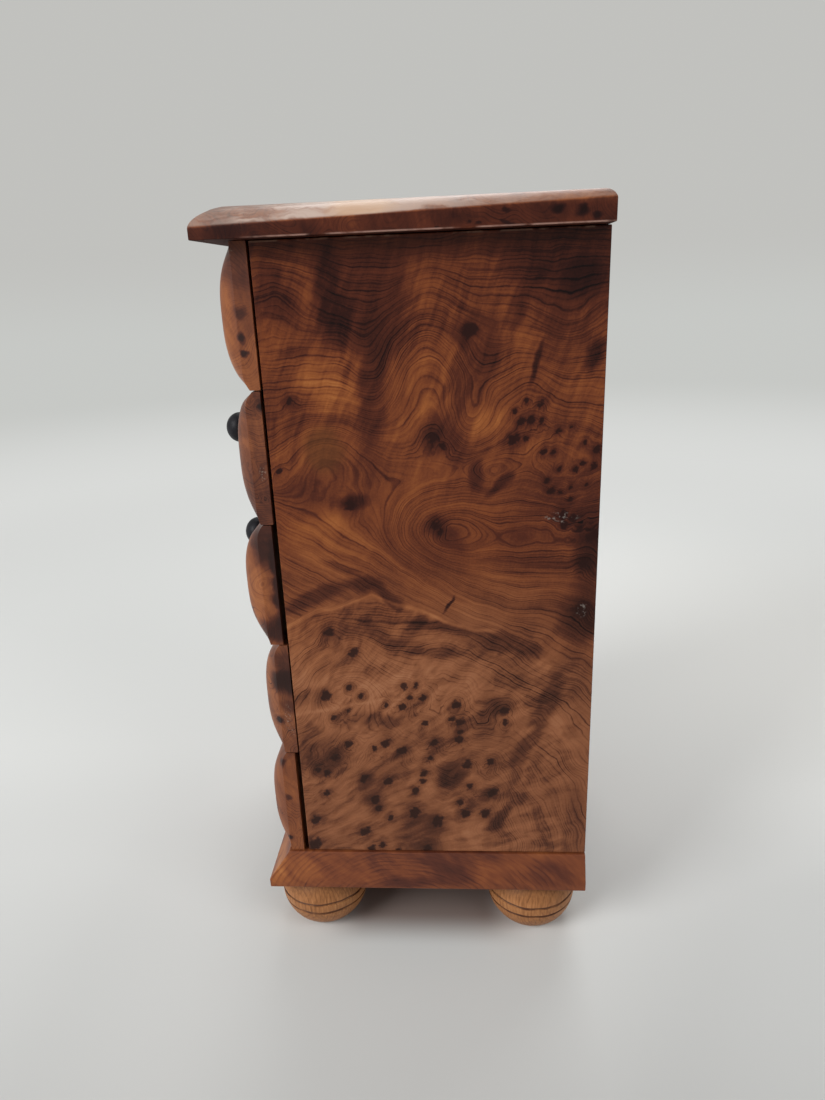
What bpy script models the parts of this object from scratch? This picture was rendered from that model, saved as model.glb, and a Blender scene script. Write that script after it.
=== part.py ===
"""A small wooden jewellery chest with five bowed drawers on four ball feet.

Metres, +Z up. The drawers face -Y, the back is at +Y, and the chest stands on z = 0
with the origin under the middle of its outer box. Every board, foot, knob and drawer
board is an object of its own. Each drawer hangs on an empty that lies on its slide
axis, so pulling that empty along -Y opens the drawer.
"""

import math

import bmesh
import bpy
from mathutils import Matrix, Vector

# Carcass: two side panels, thin shelves let into them, and a back in rebates
DRAWER_COUNT = 5
DRAWER_PITCH = 0.050
CASE_WIDTH = 0.145
CASE_DEPTH = 0.120
PANEL_THICKNESS = 0.008
SHELF_THICKNESS = 0.004
SHELF_HOUSING = 0.003
SHELF_SETBACK = 0.0005
BACK_THICKNESS = 0.004
BACK_REBATE = 0.004

# Clearance between two pieces that touch, and how far a cutter runs past a face
JOINT_GAP = 0.0003
CUT_OVERRUN = 0.002

# Top board: a square edge that grows towards the back, then a hand rounded nose,
# which leaves the edge upright in front and at a crisp angle along the sides
TOP_THICKNESS = 0.0105
TOP_SIDE_OVERHANG = 0.0084
TOP_FRONT_OVERHANG = 0.0175
TOP_EDGE_FRONT = 0.0037
TOP_EDGE_BACK = 0.0072
TOP_NOSE_SIDE = 0.009
TOP_NOSE_FRONT = 0.0115
TOP_NOSE_BACK = 0.0025
NOSE_RUN_POWER = 1.3
NOSE_RISE_POWER = 2.0
NOSE_SIDE_POWER = 2.0
NOSE_STEPS = 6

# Base board: a thin square edge under a long flat bevel, flush at the back
BASE_THICKNESS = 0.0155
BASE_SIDE_OVERHANG = 0.0053
BASE_FRONT_OVERHANG = 0.0175
BASE_EDGE = 0.004
BASE_BEVEL_SIDE = 0.0043
BASE_BEVEL_FRONT = 0.0088

# Ball feet, turned in one piece with the spigot that enters the base board.
# The ball is cut off flat above and below: its own half height and the heights of
# its widest place and its two grooves are shares of the height that is left.
FOOT_HEIGHT = 0.028
FOOT_RADIUS = 0.0198
FOOT_BALL_SHARE = 0.686
FOOT_EQUATOR_SHARE = 0.557
FOOT_GROOVE_SHARES = (0.600, 0.443)
FOOT_SIDE_INSET = 0.0006
FOOT_FRONT_INSET = 0.0005
FOOT_BACK_INSET = 0.002
FOOT_GROOVE_WIDTH = 0.0011
FOOT_GROOVE_DEPTH = 0.0007
FOOT_SPIGOT_RADIUS = 0.005
FOOT_SPIGOT_LENGTH = 0.008
FOOT_STEPS = 28
FOOT_ARC_STEPS = 10

# Drawer fronts: pillow shaped blocks, carved by hand, so crown and bow differ.
# The crown is the swell above the ends, the bow is the extra swell in plan, and the
# falls are what the hand rounding takes off the upper and the lower rim.
FRONT_REVEAL = 0.0004
FRONT_END_THICKNESS = 0.0058
FRONT_CROWNS = (0.0065, 0.0043, 0.0075, 0.0061, 0.0062)
FRONT_BOWS = (0.0038, 0.0097, 0.0022, 0.0017, 0.0008)
FRONT_UPPER_FALLS = (0.0000, 0.0030, 0.0024, 0.0024, 0.0022)
FRONT_LOWER_FALLS = (0.0020, 0.0010, 0.0008, 0.0004, 0.0003)
FRONT_FALL_SPAN = 0.006
FRONT_END_ROUND = 0.0075
FRONT_END_POWER = 2.2
FRONT_CROWN_POWER = 3.0
FRONT_FALL_POWER = 2.0
FRONT_COLUMNS = 24
FRONT_ROWS = 12
FRONT_HOUSING = 0.003

# How far each drawer stands open in the stored pose, top drawer first
REST_GAPS = (0.0009, 0.0012, 0.0021, 0.0005, 0.0021)

# Drawer boxes behind the fronts
BOX_WALL = 0.005
BOX_SIDE_CLEARANCE = 0.0005
BOX_TOP_CLEARANCE = 0.003
BOX_BACK_CLEARANCE = 0.006
BOTTOM_THICKNESS = 0.003
BOTTOM_RISE = 0.003
BOTTOM_GROOVE_DEPTH = 0.0025

# Knobs, turned in one piece with the spigot that enters the front
KNOB_PROJECTION = 0.0158
KNOB_HEAD_RADIUS = 0.0068
KNOB_DOME_HEIGHT = 0.0062
KNOB_SEAT_RADIUS = 0.0046
KNOB_WAIST_RADIUS = 0.0034
KNOB_WAIST_SHARE = 0.4
KNOB_SPIGOT_RADIUS = 0.0025
KNOB_SPIGOT_LENGTH = 0.006
KNOB_STEPS = 24
KNOB_STEM_STEPS = 6
KNOB_DOME_STEPS = 5
BORE_STEPS = 24

# Edges sharper than this stay crisp on pieces that are shaded smooth
SHARP_ANGLE = math.radians(35)

# Finishes: colour, roughness, metallic
FINISHES = {
    "burl_wood": ((0.36, 0.15, 0.06), 0.32, 0.0),
    "plinth_wood": ((0.33, 0.13, 0.06), 0.38, 0.0),
    "front_wood": ((0.40, 0.17, 0.08), 0.34, 0.0),
    "foot_wood": ((0.62, 0.38, 0.19), 0.50, 0.0),
    "black_wood": ((0.018, 0.016, 0.015), 0.35, 0.0),
    "box_wood": ((0.55, 0.35, 0.20), 0.60, 0.0),
}

# Places that follow from the sizes above
BALL_HALF_HEIGHT = FOOT_HEIGHT * FOOT_BALL_SHARE
FOOT_EQUATOR = FOOT_HEIGHT * FOOT_EQUATOR_SHARE
CASE_FLOOR = FOOT_HEIGHT + BASE_THICKNESS
CASE_HEIGHT = DRAWER_COUNT * DRAWER_PITCH
CASE_TOP = CASE_FLOOR + CASE_HEIGHT
INNER_WIDTH = CASE_WIDTH - 2 * PANEL_THICKNESS
BOX_WIDTH = INNER_WIDTH - 2 * BOX_SIDE_CLEARANCE
BOX_LENGTH = CASE_DEPTH - BACK_THICKNESS - BOX_BACK_CLEARANCE
BOX_HEIGHT = DRAWER_PITCH - SHELF_THICKNESS - JOINT_GAP - BOX_TOP_CLEARANCE
FRONT_THICKNESSES = [
    FRONT_END_THICKNESS + crown + bow for crown, bow in zip(FRONT_CROWNS, FRONT_BOWS)
]
KNOB_REACH = max(
    gap + thickness + JOINT_GAP + KNOB_PROJECTION
    for gap, thickness in zip(REST_GAPS, FRONT_THICKNESSES)
)
FRONT_REACH = max(KNOB_REACH, TOP_FRONT_OVERHANG, BASE_FRONT_OVERHANG)

# The case front lies so that the outer box, knobs included, is centred on the origin
CASE_FRONT_Y = (FRONT_REACH - CASE_DEPTH) / 2
CASE_BACK_Y = CASE_FRONT_Y + CASE_DEPTH


def clear_scene():
    for old in list(bpy.data.objects):
        bpy.data.objects.remove(old, do_unlink=True)


def finish(name):
    """The material of one kind of wood, made once."""
    material = bpy.data.materials.get(name)
    if material is None:
        colour, roughness, metallic = FINISHES[name]
        material = bpy.data.materials.new(name)
        material.use_nodes = True
        shader = material.node_tree.nodes["Principled BSDF"]
        shader.inputs["Base Color"].default_value = (*colour, 1.0)
        shader.inputs["Roughness"].default_value = roughness
        shader.inputs["Metallic"].default_value = metallic
    return material


def make_object(name, shape, material, location=(0, 0, 0), parent=None):
    """Turn a finished bmesh into a named object with outward faces."""
    bmesh.ops.recalc_face_normals(shape, faces=shape.faces)
    mesh = bpy.data.meshes.new(name)
    shape.to_mesh(mesh)
    shape.free()
    mesh.shade_smooth()
    mesh.set_sharp_from_angle(angle=SHARP_ANGLE)
    mesh.materials.append(finish(material))
    piece = bpy.data.objects.new(name, mesh)
    piece.location = location
    piece.parent = parent
    bpy.context.scene.collection.objects.link(piece)
    return piece


def slide_empty(name, location):
    """An empty on a drawer's slide axis, which carries the drawer's pieces."""
    empty = bpy.data.objects.new(name, None)
    empty.empty_display_type = "SINGLE_ARROW"
    empty.location = location
    bpy.context.scene.collection.objects.link(empty)
    return empty


def block(low, high):
    """A box between two corners."""
    low = Vector(low)
    size = Vector(high) - low
    shape = bmesh.new()
    bmesh.ops.create_cube(shape, size=1)
    bmesh.ops.scale(shape, vec=size, verts=shape.verts)
    bmesh.ops.translate(shape, vec=low + size / 2, verts=shape.verts)
    return shape


def extruded(outline, start_y, end_y):
    """A closed outline of (x, z) points, extruded along Y."""
    shape = bmesh.new()
    corners = [shape.verts.new((x, start_y, z)) for x, z in outline]
    face = shape.faces.new(corners)
    grown = bmesh.ops.extrude_face_region(shape, geom=[face])
    moved = [item for item in grown["geom"] if isinstance(item, bmesh.types.BMVert)]
    bmesh.ops.translate(shape, vec=(0, end_y - start_y, 0), verts=moved)
    return shape


def turned(profile, steps):
    """A profile of (radius, height) points, from axis to axis, spun about Z."""
    shape = bmesh.new()
    points = [shape.verts.new((radius, 0, height)) for radius, height in profile]
    edges = [shape.edges.new(pair) for pair in zip(points, points[1:])]
    bmesh.ops.spin(
        shape, geom=points + edges, cent=(0, 0, 0), axis=(0, 0, 1),
        angle=2 * math.pi, steps=steps, use_merge=True,
    )
    bmesh.ops.remove_doubles(shape, verts=shape.verts, dist=JOINT_GAP / 10)
    return shape


def lofted(rings):
    """Rings of corner points, bridged in turn and capped at both ends."""
    shape = bmesh.new()
    loops = []
    for ring in rings:
        corners = [shape.verts.new(point) for point in ring]
        pairs = zip(corners, corners[1:] + corners[:1])
        loops.append([shape.edges.new(pair) for pair in pairs])
    for lower, upper in zip(loops, loops[1:]):
        bmesh.ops.bridge_loops(shape, edges=lower + upper)
    bmesh.ops.holes_fill(shape, edges=loops[0] + loops[-1], sides=len(rings[0]))
    return shape


def cut(piece, shape, label):
    """Cut a bmesh shape, given in the piece's own axes, out of the piece."""
    cutter = make_object(piece.name + "_" + label, shape, "box_wood", piece.location, piece.parent)
    cutter.hide_render = True
    cutter.display_type = "WIRE"
    boolean = piece.modifiers.new(label, "BOOLEAN")
    boolean.operation = "DIFFERENCE"
    boolean.solver = "EXACT"
    boolean.object = cutter


def rod(radius, low, high, steps):
    """A round bar along Z."""
    return turned([(0, low), (radius, low), (radius, high), (0, high)], steps)


def board_ring(side, front, back, front_z, back_z):
    """Corners of a board's outline, reaching past the case by the given overhangs."""
    half = CASE_WIDTH / 2 + side
    front_y = CASE_FRONT_Y - front
    back_y = CASE_BACK_Y + back
    return [
        (-half, front_y, front_z),
        (half, front_y, front_z),
        (half, back_y, back_z),
        (-half, back_y, back_z),
    ]


def build_top_board():
    bottom = CASE_TOP
    top = bottom + TOP_THICKNESS
    rings = [board_ring(TOP_SIDE_OVERHANG, TOP_FRONT_OVERHANG, 0, bottom, bottom)]
    for step in range(NOSE_STEPS + 1):
        run = 1 - math.cos(math.pi / 2 * step / NOSE_STEPS)
        rise = (1 - (1 - run) ** NOSE_RUN_POWER) ** (1 / NOSE_RISE_POWER)
        side_run = 1 - max(1 - rise, 0) ** (1 / NOSE_SIDE_POWER)
        front_z = bottom + TOP_EDGE_FRONT + rise * (TOP_THICKNESS - TOP_EDGE_FRONT)
        back_z = bottom + TOP_EDGE_BACK + rise * (TOP_THICKNESS - TOP_EDGE_BACK)
        rings.append(board_ring(
            TOP_SIDE_OVERHANG - side_run * TOP_NOSE_SIDE,
            TOP_FRONT_OVERHANG - run * TOP_NOSE_FRONT,
            -run * TOP_NOSE_BACK,
            min(front_z, top),
            min(back_z, top),
        ))
    return make_object("top_board", lofted(rings), "burl_wood")


def build_base_board(foot_places):
    bottom = FOOT_HEIGHT
    edge_z = bottom + BASE_EDGE
    rings = [
        board_ring(BASE_SIDE_OVERHANG, BASE_FRONT_OVERHANG, 0, bottom, bottom),
        board_ring(BASE_SIDE_OVERHANG, BASE_FRONT_OVERHANG, 0, edge_z, edge_z),
        board_ring(
            BASE_SIDE_OVERHANG - BASE_BEVEL_SIDE,
            BASE_FRONT_OVERHANG - BASE_BEVEL_FRONT,
            0, CASE_FLOOR, CASE_FLOOR,
        ),
    ]
    base = make_object("base_board", lofted(rings), "plinth_wood")
    for name, (x, y) in foot_places.items():
        bore = rod(
            FOOT_SPIGOT_RADIUS + JOINT_GAP,
            bottom - CUT_OVERRUN, bottom + FOOT_SPIGOT_LENGTH + JOINT_GAP, BORE_STEPS,
        )
        bmesh.ops.translate(bore, vec=(x, y, 0), verts=bore.verts)
        cut(base, bore, "bore_for_" + name)
    return base


def foot_places():
    """Where each foot's axis stands, from the edges of the base board."""
    x = CASE_WIDTH / 2 + BASE_SIDE_OVERHANG - FOOT_SIDE_INSET - FOOT_RADIUS
    front_y = CASE_FRONT_Y - BASE_FRONT_OVERHANG + FOOT_FRONT_INSET + FOOT_RADIUS
    back_y = CASE_BACK_Y - FOOT_BACK_INSET - FOOT_RADIUS
    return {
        "foot_front_left": (-x, front_y),
        "foot_front_right": (x, front_y),
        "foot_back_left": (-x, back_y),
        "foot_back_right": (x, back_y),
    }


def ball_radius(height):
    """Radius of the ball foot at a height above the floor."""
    share = (height - FOOT_EQUATOR) / BALL_HALF_HEIGHT
    return FOOT_RADIUS * math.sqrt(1 - share * share)


def foot_profile():
    seat = FOOT_HEIGHT - JOINT_GAP
    low_angle = math.asin(-FOOT_EQUATOR / BALL_HALF_HEIGHT)
    high_angle = math.asin((seat - FOOT_EQUATOR) / BALL_HALF_HEIGHT)
    grooves = [FOOT_HEIGHT * share for share in FOOT_GROOVE_SHARES]
    points = []
    for step in range(FOOT_ARC_STEPS + 1):
        angle = low_angle + (high_angle - low_angle) * step / FOOT_ARC_STEPS
        height = FOOT_EQUATOR + BALL_HALF_HEIGHT * math.sin(angle)
        if all(abs(height - groove) > FOOT_GROOVE_WIDTH for groove in grooves):
            points.append((ball_radius(height), height))
    for groove in grooves:
        for side in (-1, 0, 1):
            height = groove + side * FOOT_GROOVE_WIDTH / 2
            depth = 0 if side else FOOT_GROOVE_DEPTH
            points.append((ball_radius(height) - depth, height))
    points.sort(key=lambda point: point[1])
    spigot_top = seat + FOOT_SPIGOT_LENGTH
    spigot = [(FOOT_SPIGOT_RADIUS, seat), (FOOT_SPIGOT_RADIUS, spigot_top), (0, spigot_top)]
    return [(0, 0)] + points + spigot


def build_feet(places):
    for name, (x, y) in places.items():
        make_object(name, turned(foot_profile(), FOOT_STEPS), "foot_wood", (x, y, 0))


def shelf_heights():
    """Middle height of each shelf, top one first."""
    return [CASE_TOP - number * DRAWER_PITCH for number in range(1, DRAWER_COUNT)]


def build_side_panel(name, side):
    """A side panel, side +1 or -1 along X, with a housing across it for each shelf."""
    outer = side * CASE_WIDTH / 2
    inner = side * INNER_WIDTH / 2
    housed = side * (INNER_WIDTH / 2 + SHELF_HOUSING)
    half_slot = SHELF_THICKNESS / 2 + JOINT_GAP
    low = CASE_FLOOR + JOINT_GAP
    high = CASE_TOP - JOINT_GAP
    outline = [(outer, low), (outer, high), (inner, high)]
    for z in shelf_heights():
        outline += [(inner, z + half_slot), (housed, z + half_slot)]
        outline += [(housed, z - half_slot), (inner, z - half_slot)]
    outline.append((inner, low))
    panel = make_object(name, extruded(outline, CASE_FRONT_Y, CASE_BACK_Y), "burl_wood")
    rebate_x = sorted((
        side * (INNER_WIDTH / 2 - CUT_OVERRUN),
        side * (INNER_WIDTH / 2 + BACK_REBATE),
    ))
    rebate = block(
        (rebate_x[0], CASE_BACK_Y - BACK_THICKNESS - JOINT_GAP, low - CUT_OVERRUN),
        (rebate_x[1], CASE_BACK_Y + CUT_OVERRUN, high + CUT_OVERRUN),
    )
    cut(panel, rebate, "rebate")
    return panel


def build_back_panel():
    half = INNER_WIDTH / 2 + BACK_REBATE - JOINT_GAP
    shape = block(
        (-half, CASE_BACK_Y - BACK_THICKNESS, CASE_FLOOR + JOINT_GAP),
        (half, CASE_BACK_Y, CASE_TOP - JOINT_GAP),
    )
    return make_object("back_panel", shape, "burl_wood")


def build_shelves():
    half = INNER_WIDTH / 2 + SHELF_HOUSING - JOINT_GAP
    for number, z in enumerate(shelf_heights(), start=1):
        shape = block(
            (-half, CASE_FRONT_Y + SHELF_SETBACK, z - SHELF_THICKNESS / 2),
            (half, CASE_BACK_Y - BACK_THICKNESS - JOINT_GAP, z + SHELF_THICKNESS / 2),
        )
        make_object(f"shelf_{number}", shape, "box_wood")


def front_thickness(x, z, number):
    """Thickness of a drawer front at a place on its face, measured from its middle."""
    half_width = CASE_WIDTH / 2
    half_height = (DRAWER_PITCH - FRONT_REVEAL) / 2
    inset = min((half_width - abs(x)) / FRONT_END_ROUND, 1)
    end_round = 1 - (1 - inset) ** FRONT_END_POWER
    bow_share = 1 - (x / half_width) ** 2
    height_share = 1 - (abs(z) / half_height) ** FRONT_CROWN_POWER
    swell = FRONT_CROWNS[number] * end_round + FRONT_BOWS[number] * bow_share
    fall = FRONT_UPPER_FALLS[number] if z > 0 else FRONT_LOWER_FALLS[number]
    fall_share = max(1 - (half_height - abs(z)) / FRONT_FALL_SPAN, 0) ** FRONT_FALL_POWER
    return FRONT_END_THICKNESS + swell * height_share - fall * fall_share


def front_shape(number):
    """The pillow shaped block: a swelling face, square edges and a flat back at y = 0."""
    half_width = CASE_WIDTH / 2
    half_height = (DRAWER_PITCH - FRONT_REVEAL) / 2
    shape = bmesh.new()
    bmesh.ops.create_grid(shape, x_segments=FRONT_COLUMNS, y_segments=FRONT_ROWS, size=1)
    for vert in shape.verts:
        x = half_width * math.sin(math.pi / 2 * vert.co.x)
        z = half_height * math.sin(math.pi / 2 * vert.co.y)
        vert.co = (x, -front_thickness(x, z, number), z)
    rim = [edge for edge in shape.edges if edge.is_boundary]
    grown = bmesh.ops.extrude_edge_only(shape, edges=rim)["geom"]
    for vert in grown:
        if isinstance(vert, bmesh.types.BMVert):
            vert.co.y = 0
    back_rim = [edge for edge in grown if isinstance(edge, bmesh.types.BMEdge) and edge.is_boundary]
    bmesh.ops.holes_fill(shape, edges=back_rim, sides=len(back_rim))
    return shape


def build_front(name, number, box_floor, parent):
    front = make_object(name, front_shape(number), "front_wood", parent=parent)
    box_top = box_floor + BOX_HEIGHT
    for label, side in (("left", -1), ("right", 1)):
        edges = sorted((
            side * (BOX_WIDTH / 2 + JOINT_GAP),
            side * (BOX_WIDTH / 2 - BOX_WALL - JOINT_GAP),
        ))
        housing = block(
            (edges[0], -FRONT_HOUSING, box_floor - JOINT_GAP),
            (edges[1], CUT_OVERRUN, box_top + JOINT_GAP),
        )
        cut(front, housing, label + "_housing")
    groove_half = BOX_WIDTH / 2 - BOX_WALL
    groove = block(
        (-groove_half, -BOTTOM_GROOVE_DEPTH, box_floor + BOTTOM_RISE - JOINT_GAP),
        (groove_half, CUT_OVERRUN, box_floor + BOTTOM_RISE + BOTTOM_THICKNESS + JOINT_GAP),
    )
    cut(front, groove, "bottom_groove")
    bore = rod(
        KNOB_SPIGOT_RADIUS + JOINT_GAP, -CUT_OVERRUN, KNOB_SPIGOT_LENGTH, BORE_STEPS,
    )
    bmesh.ops.rotate(bore, cent=(0, 0, 0), matrix=Matrix.Rotation(-math.pi / 2, 3, "X"),
                     verts=bore.verts)
    bmesh.ops.translate(bore, vec=(0, -FRONT_THICKNESSES[number], 0), verts=bore.verts)
    cut(front, bore, "knob_bore")
    return front


def build_box_side(name, side, box_floor, parent):
    """A drawer side with a groove for the bottom, let into the front's housing."""
    outer = side * BOX_WIDTH / 2
    inner = side * (BOX_WIDTH / 2 - BOX_WALL)
    grooved = side * (BOX_WIDTH / 2 - BOX_WALL + BOTTOM_GROOVE_DEPTH)
    groove_low = box_floor + BOTTOM_RISE - JOINT_GAP
    groove_high = box_floor + BOTTOM_RISE + BOTTOM_THICKNESS + JOINT_GAP
    box_top = box_floor + BOX_HEIGHT
    outline = [
        (outer, box_floor), (outer, box_top), (inner, box_top),
        (inner, groove_high), (grooved, groove_high),
        (grooved, groove_low), (inner, groove_low), (inner, box_floor),
    ]
    shape = extruded(outline, JOINT_GAP - FRONT_HOUSING, BOX_LENGTH)
    return make_object(name, shape, "box_wood", parent=parent)


def build_box_bottom(name, box_floor, parent):
    half = BOX_WIDTH / 2 - BOX_WALL + BOTTOM_GROOVE_DEPTH - JOINT_GAP
    low = box_floor + BOTTOM_RISE
    bottom = make_object(name, block(
        (-half, JOINT_GAP, low),
        (half, BOX_LENGTH, low + BOTTOM_THICKNESS),
    ), "box_wood", parent=parent)
    return bottom


def build_box_back(name, box_floor, parent):
    """The drawer back stands on the bottom, between the two sides."""
    half = BOX_WIDTH / 2 - BOX_WALL - JOINT_GAP
    low = box_floor + BOTTOM_RISE + BOTTOM_THICKNESS + JOINT_GAP
    shape = block(
        (-half, BOX_LENGTH - BOX_WALL, low),
        (half, BOX_LENGTH, box_floor + BOX_HEIGHT),
    )
    return make_object(name, shape, "box_wood", parent=parent)


def knob_profile():
    """From the spigot's end, along the stem and over the dome of the head."""
    stem = KNOB_PROJECTION - KNOB_DOME_HEIGHT
    profile = [(0, -KNOB_SPIGOT_LENGTH), (KNOB_SPIGOT_RADIUS, -KNOB_SPIGOT_LENGTH)]
    profile.append((KNOB_SPIGOT_RADIUS, 0))
    for step in range(KNOB_STEM_STEPS + 1):
        share = step / KNOB_STEM_STEPS
        if share < KNOB_WAIST_SHARE:
            swell = (1 - share / KNOB_WAIST_SHARE) ** 2
            radius = KNOB_WAIST_RADIUS + swell * (KNOB_SEAT_RADIUS - KNOB_WAIST_RADIUS)
        else:
            swell = math.sin(math.pi / 2 * (share - KNOB_WAIST_SHARE) / (1 - KNOB_WAIST_SHARE)) ** 2
            radius = KNOB_WAIST_RADIUS + swell * (KNOB_HEAD_RADIUS - KNOB_WAIST_RADIUS)
        profile.append((radius, stem * share))
    for step in range(1, KNOB_DOME_STEPS + 1):
        angle = math.pi / 2 * step / KNOB_DOME_STEPS
        radius = 0 if step == KNOB_DOME_STEPS else KNOB_HEAD_RADIUS * math.cos(angle)
        profile.append((radius, stem + KNOB_DOME_HEIGHT * math.sin(angle)))
    return profile


def build_knob(name, number, parent):
    shape = turned(knob_profile(), KNOB_STEPS)
    bmesh.ops.rotate(shape, cent=(0, 0, 0), matrix=Matrix.Rotation(math.pi / 2, 3, "X"),
                     verts=shape.verts)
    seat = (0, -FRONT_THICKNESSES[number] - JOINT_GAP, 0)
    return make_object(name, shape, "black_wood", seat, parent)


def build_drawer(number):
    """One drawer on its slide empty; number counts from the top, starting at 0."""
    name = f"drawer_{number + 1}"
    bay_middle = CASE_TOP - (number + 0.5) * DRAWER_PITCH
    slide = slide_empty(name + "_slide", (0, CASE_FRONT_Y - REST_GAPS[number], bay_middle))
    stands_on = CASE_FLOOR
    if number < DRAWER_COUNT - 1:
        stands_on = shelf_heights()[number] + SHELF_THICKNESS / 2
    box_floor = stands_on + JOINT_GAP - bay_middle
    build_front(name + "_front", number, box_floor, slide)
    build_box_side(name + "_side_left", -1, box_floor, slide)
    build_box_side(name + "_side_right", 1, box_floor, slide)
    build_box_bottom(name + "_bottom", box_floor, slide)
    build_box_back(name + "_back", box_floor, slide)
    build_knob(name + "_knob", number, slide)


def build_chest():
    clear_scene()
    places = foot_places()
    build_feet(places)
    build_base_board(places)
    build_side_panel("side_panel_left", -1)
    build_side_panel("side_panel_right", 1)
    build_back_panel()
    build_shelves()
    build_top_board()
    for number in range(DRAWER_COUNT):
        build_drawer(number)


build_chest()
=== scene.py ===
"""The look of a small wooden jewelry chest: fine pieces, wood finishes, light and camera.

Metres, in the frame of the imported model: +Z up, the drawers face -Y, and the camera
stands at +X, in front of the chest's right side.
"""

import math
from functools import reduce

import bmesh
import bpy
from mathutils import Matrix, Vector


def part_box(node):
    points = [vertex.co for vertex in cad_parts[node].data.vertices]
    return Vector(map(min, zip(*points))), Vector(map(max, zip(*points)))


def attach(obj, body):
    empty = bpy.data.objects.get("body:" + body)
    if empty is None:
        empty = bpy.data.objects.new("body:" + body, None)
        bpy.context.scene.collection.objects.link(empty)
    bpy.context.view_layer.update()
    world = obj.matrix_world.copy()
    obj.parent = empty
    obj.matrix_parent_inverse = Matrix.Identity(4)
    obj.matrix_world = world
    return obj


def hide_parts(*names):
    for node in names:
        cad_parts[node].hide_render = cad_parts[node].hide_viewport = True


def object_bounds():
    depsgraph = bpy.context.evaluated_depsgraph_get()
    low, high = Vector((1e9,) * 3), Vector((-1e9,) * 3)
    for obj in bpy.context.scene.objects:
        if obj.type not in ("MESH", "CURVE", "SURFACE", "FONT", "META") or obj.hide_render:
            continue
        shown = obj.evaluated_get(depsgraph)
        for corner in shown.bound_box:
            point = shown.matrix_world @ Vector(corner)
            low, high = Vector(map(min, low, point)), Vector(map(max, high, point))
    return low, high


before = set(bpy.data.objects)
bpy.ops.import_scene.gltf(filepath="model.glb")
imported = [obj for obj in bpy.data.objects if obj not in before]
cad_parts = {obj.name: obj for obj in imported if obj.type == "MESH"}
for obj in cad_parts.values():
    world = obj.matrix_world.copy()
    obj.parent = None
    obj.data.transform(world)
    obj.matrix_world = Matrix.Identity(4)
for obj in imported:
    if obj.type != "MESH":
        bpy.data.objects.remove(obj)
packed_low, packed_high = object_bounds()

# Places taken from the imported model
CASE_LOW, CASE_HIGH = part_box("side_panel_right")
TOP_LOW, TOP_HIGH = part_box("top_board")
BASE_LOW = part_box("base_board")[0]
PANEL_HEIGHT = CASE_HIGH.z - CASE_LOW.z

# Easing of sharp edges, the reach of a weld, and the angles that count as flat and sharp
EDGE_EASE = 0.00035
EASE_STEPS = 2
WELD = 0.00001
FLAT_ANGLE = math.radians(1)
SHARP_ANGLE = math.radians(32)

# Top board: height of its square edge, width of its nose, and the nose's curve
TOP_EDGE_FRONT = 0.0037
TOP_EDGE_BACK = 0.0072
TOP_NOSE_SIDE = 0.009
TOP_NOSE_FRONT = 0.0115
TOP_NOSE_BACK = 0.0025
NOSE_RUN_POWER = 1.3
NOSE_RISE_POWER = 2.0
NOSE_SIDE_POWER = 2.0
NOSE_STEPS = 16

# Drawer fronts: the pillow's thickness at its rim, its swell, and what the hand
# rounding takes off its upper and its lower rim, top drawer first
FRONT_END_THICKNESS = 0.0058
FRONT_CROWNS = (0.0065, 0.0043, 0.0075, 0.0061, 0.0062)
FRONT_BOWS = (0.0038, 0.0097, 0.0022, 0.0017, 0.0008)
FRONT_UPPER_FALLS = (0.0000, 0.0030, 0.0024, 0.0024, 0.0022)
FRONT_LOWER_FALLS = (0.0020, 0.0010, 0.0008, 0.0004, 0.0003)
FRONT_FALL_SPAN = 0.006
FRONT_END_ROUND = 0.0075
FRONT_END_POWER = 2.2
FRONT_CROWN_POWER = 3.0
FRONT_FALL_POWER = 2.0
FRONT_COLUMNS = 72
FRONT_ROWS = 36
FRONT_EASE = 0.0004

# Housings for the drawer's sides and the groove for its bottom, in the front's back
HOUSING_DEPTH = 0.003
GROOVE_DEPTH = 0.0025
GROOVE_END_GAP = 0.0002
HOUSING_GAP = 0.0003

# Knobs: seat, waist and domed head
KNOB_PROJECTION = 0.0158
KNOB_HEAD_RADIUS = 0.0068
KNOB_DOME_HEIGHT = 0.0062
KNOB_SEAT_RADIUS = 0.0046
KNOB_WAIST_RADIUS = 0.0034
KNOB_WAIST_SHARE = 0.4
KNOB_SPIGOT_RADIUS = 0.0025
KNOB_SPIGOT_LENGTH = 0.006
KNOB_STEPS = 56
KNOB_STEM_STEPS = 14
KNOB_DOME_STEPS = 12

# Ball feet, cut off flat above and below, with two burnt grooves
FOOT_BALL_SHARE = 0.686
FOOT_EQUATOR_SHARE = 0.557
FOOT_GROOVE_SHARES = (0.600, 0.443)
FOOT_GROOVE_WIDTH = 0.0011
FOOT_GROOVE_DEPTH = 0.0007
FOOT_GROOVE_REACH = 0.6
FOOT_SPIGOT_RADIUS = 0.005
FOOT_SPIGOT_LENGTH = 0.008
FOOT_STEPS = 72
FOOT_ARC_STEPS = 32
GROOVE_STEPS = 6

# Camera, fitted to the corners of the side panel in an image of 825 by 1100
IMAGE_HEIGHT = 1100
FOCAL_PIXELS = 767.8
SENSOR = 36.0
NEAREST_SEEN = 0.01
CAMERA_PLACE = (0.3450, 0.0296, 0.2776)
CAMERA_HEADING = math.radians(94.21)
CAMERA_PITCH = math.radians(19.14)
CAMERA_ROLL = math.radians(-2.31)

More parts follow.
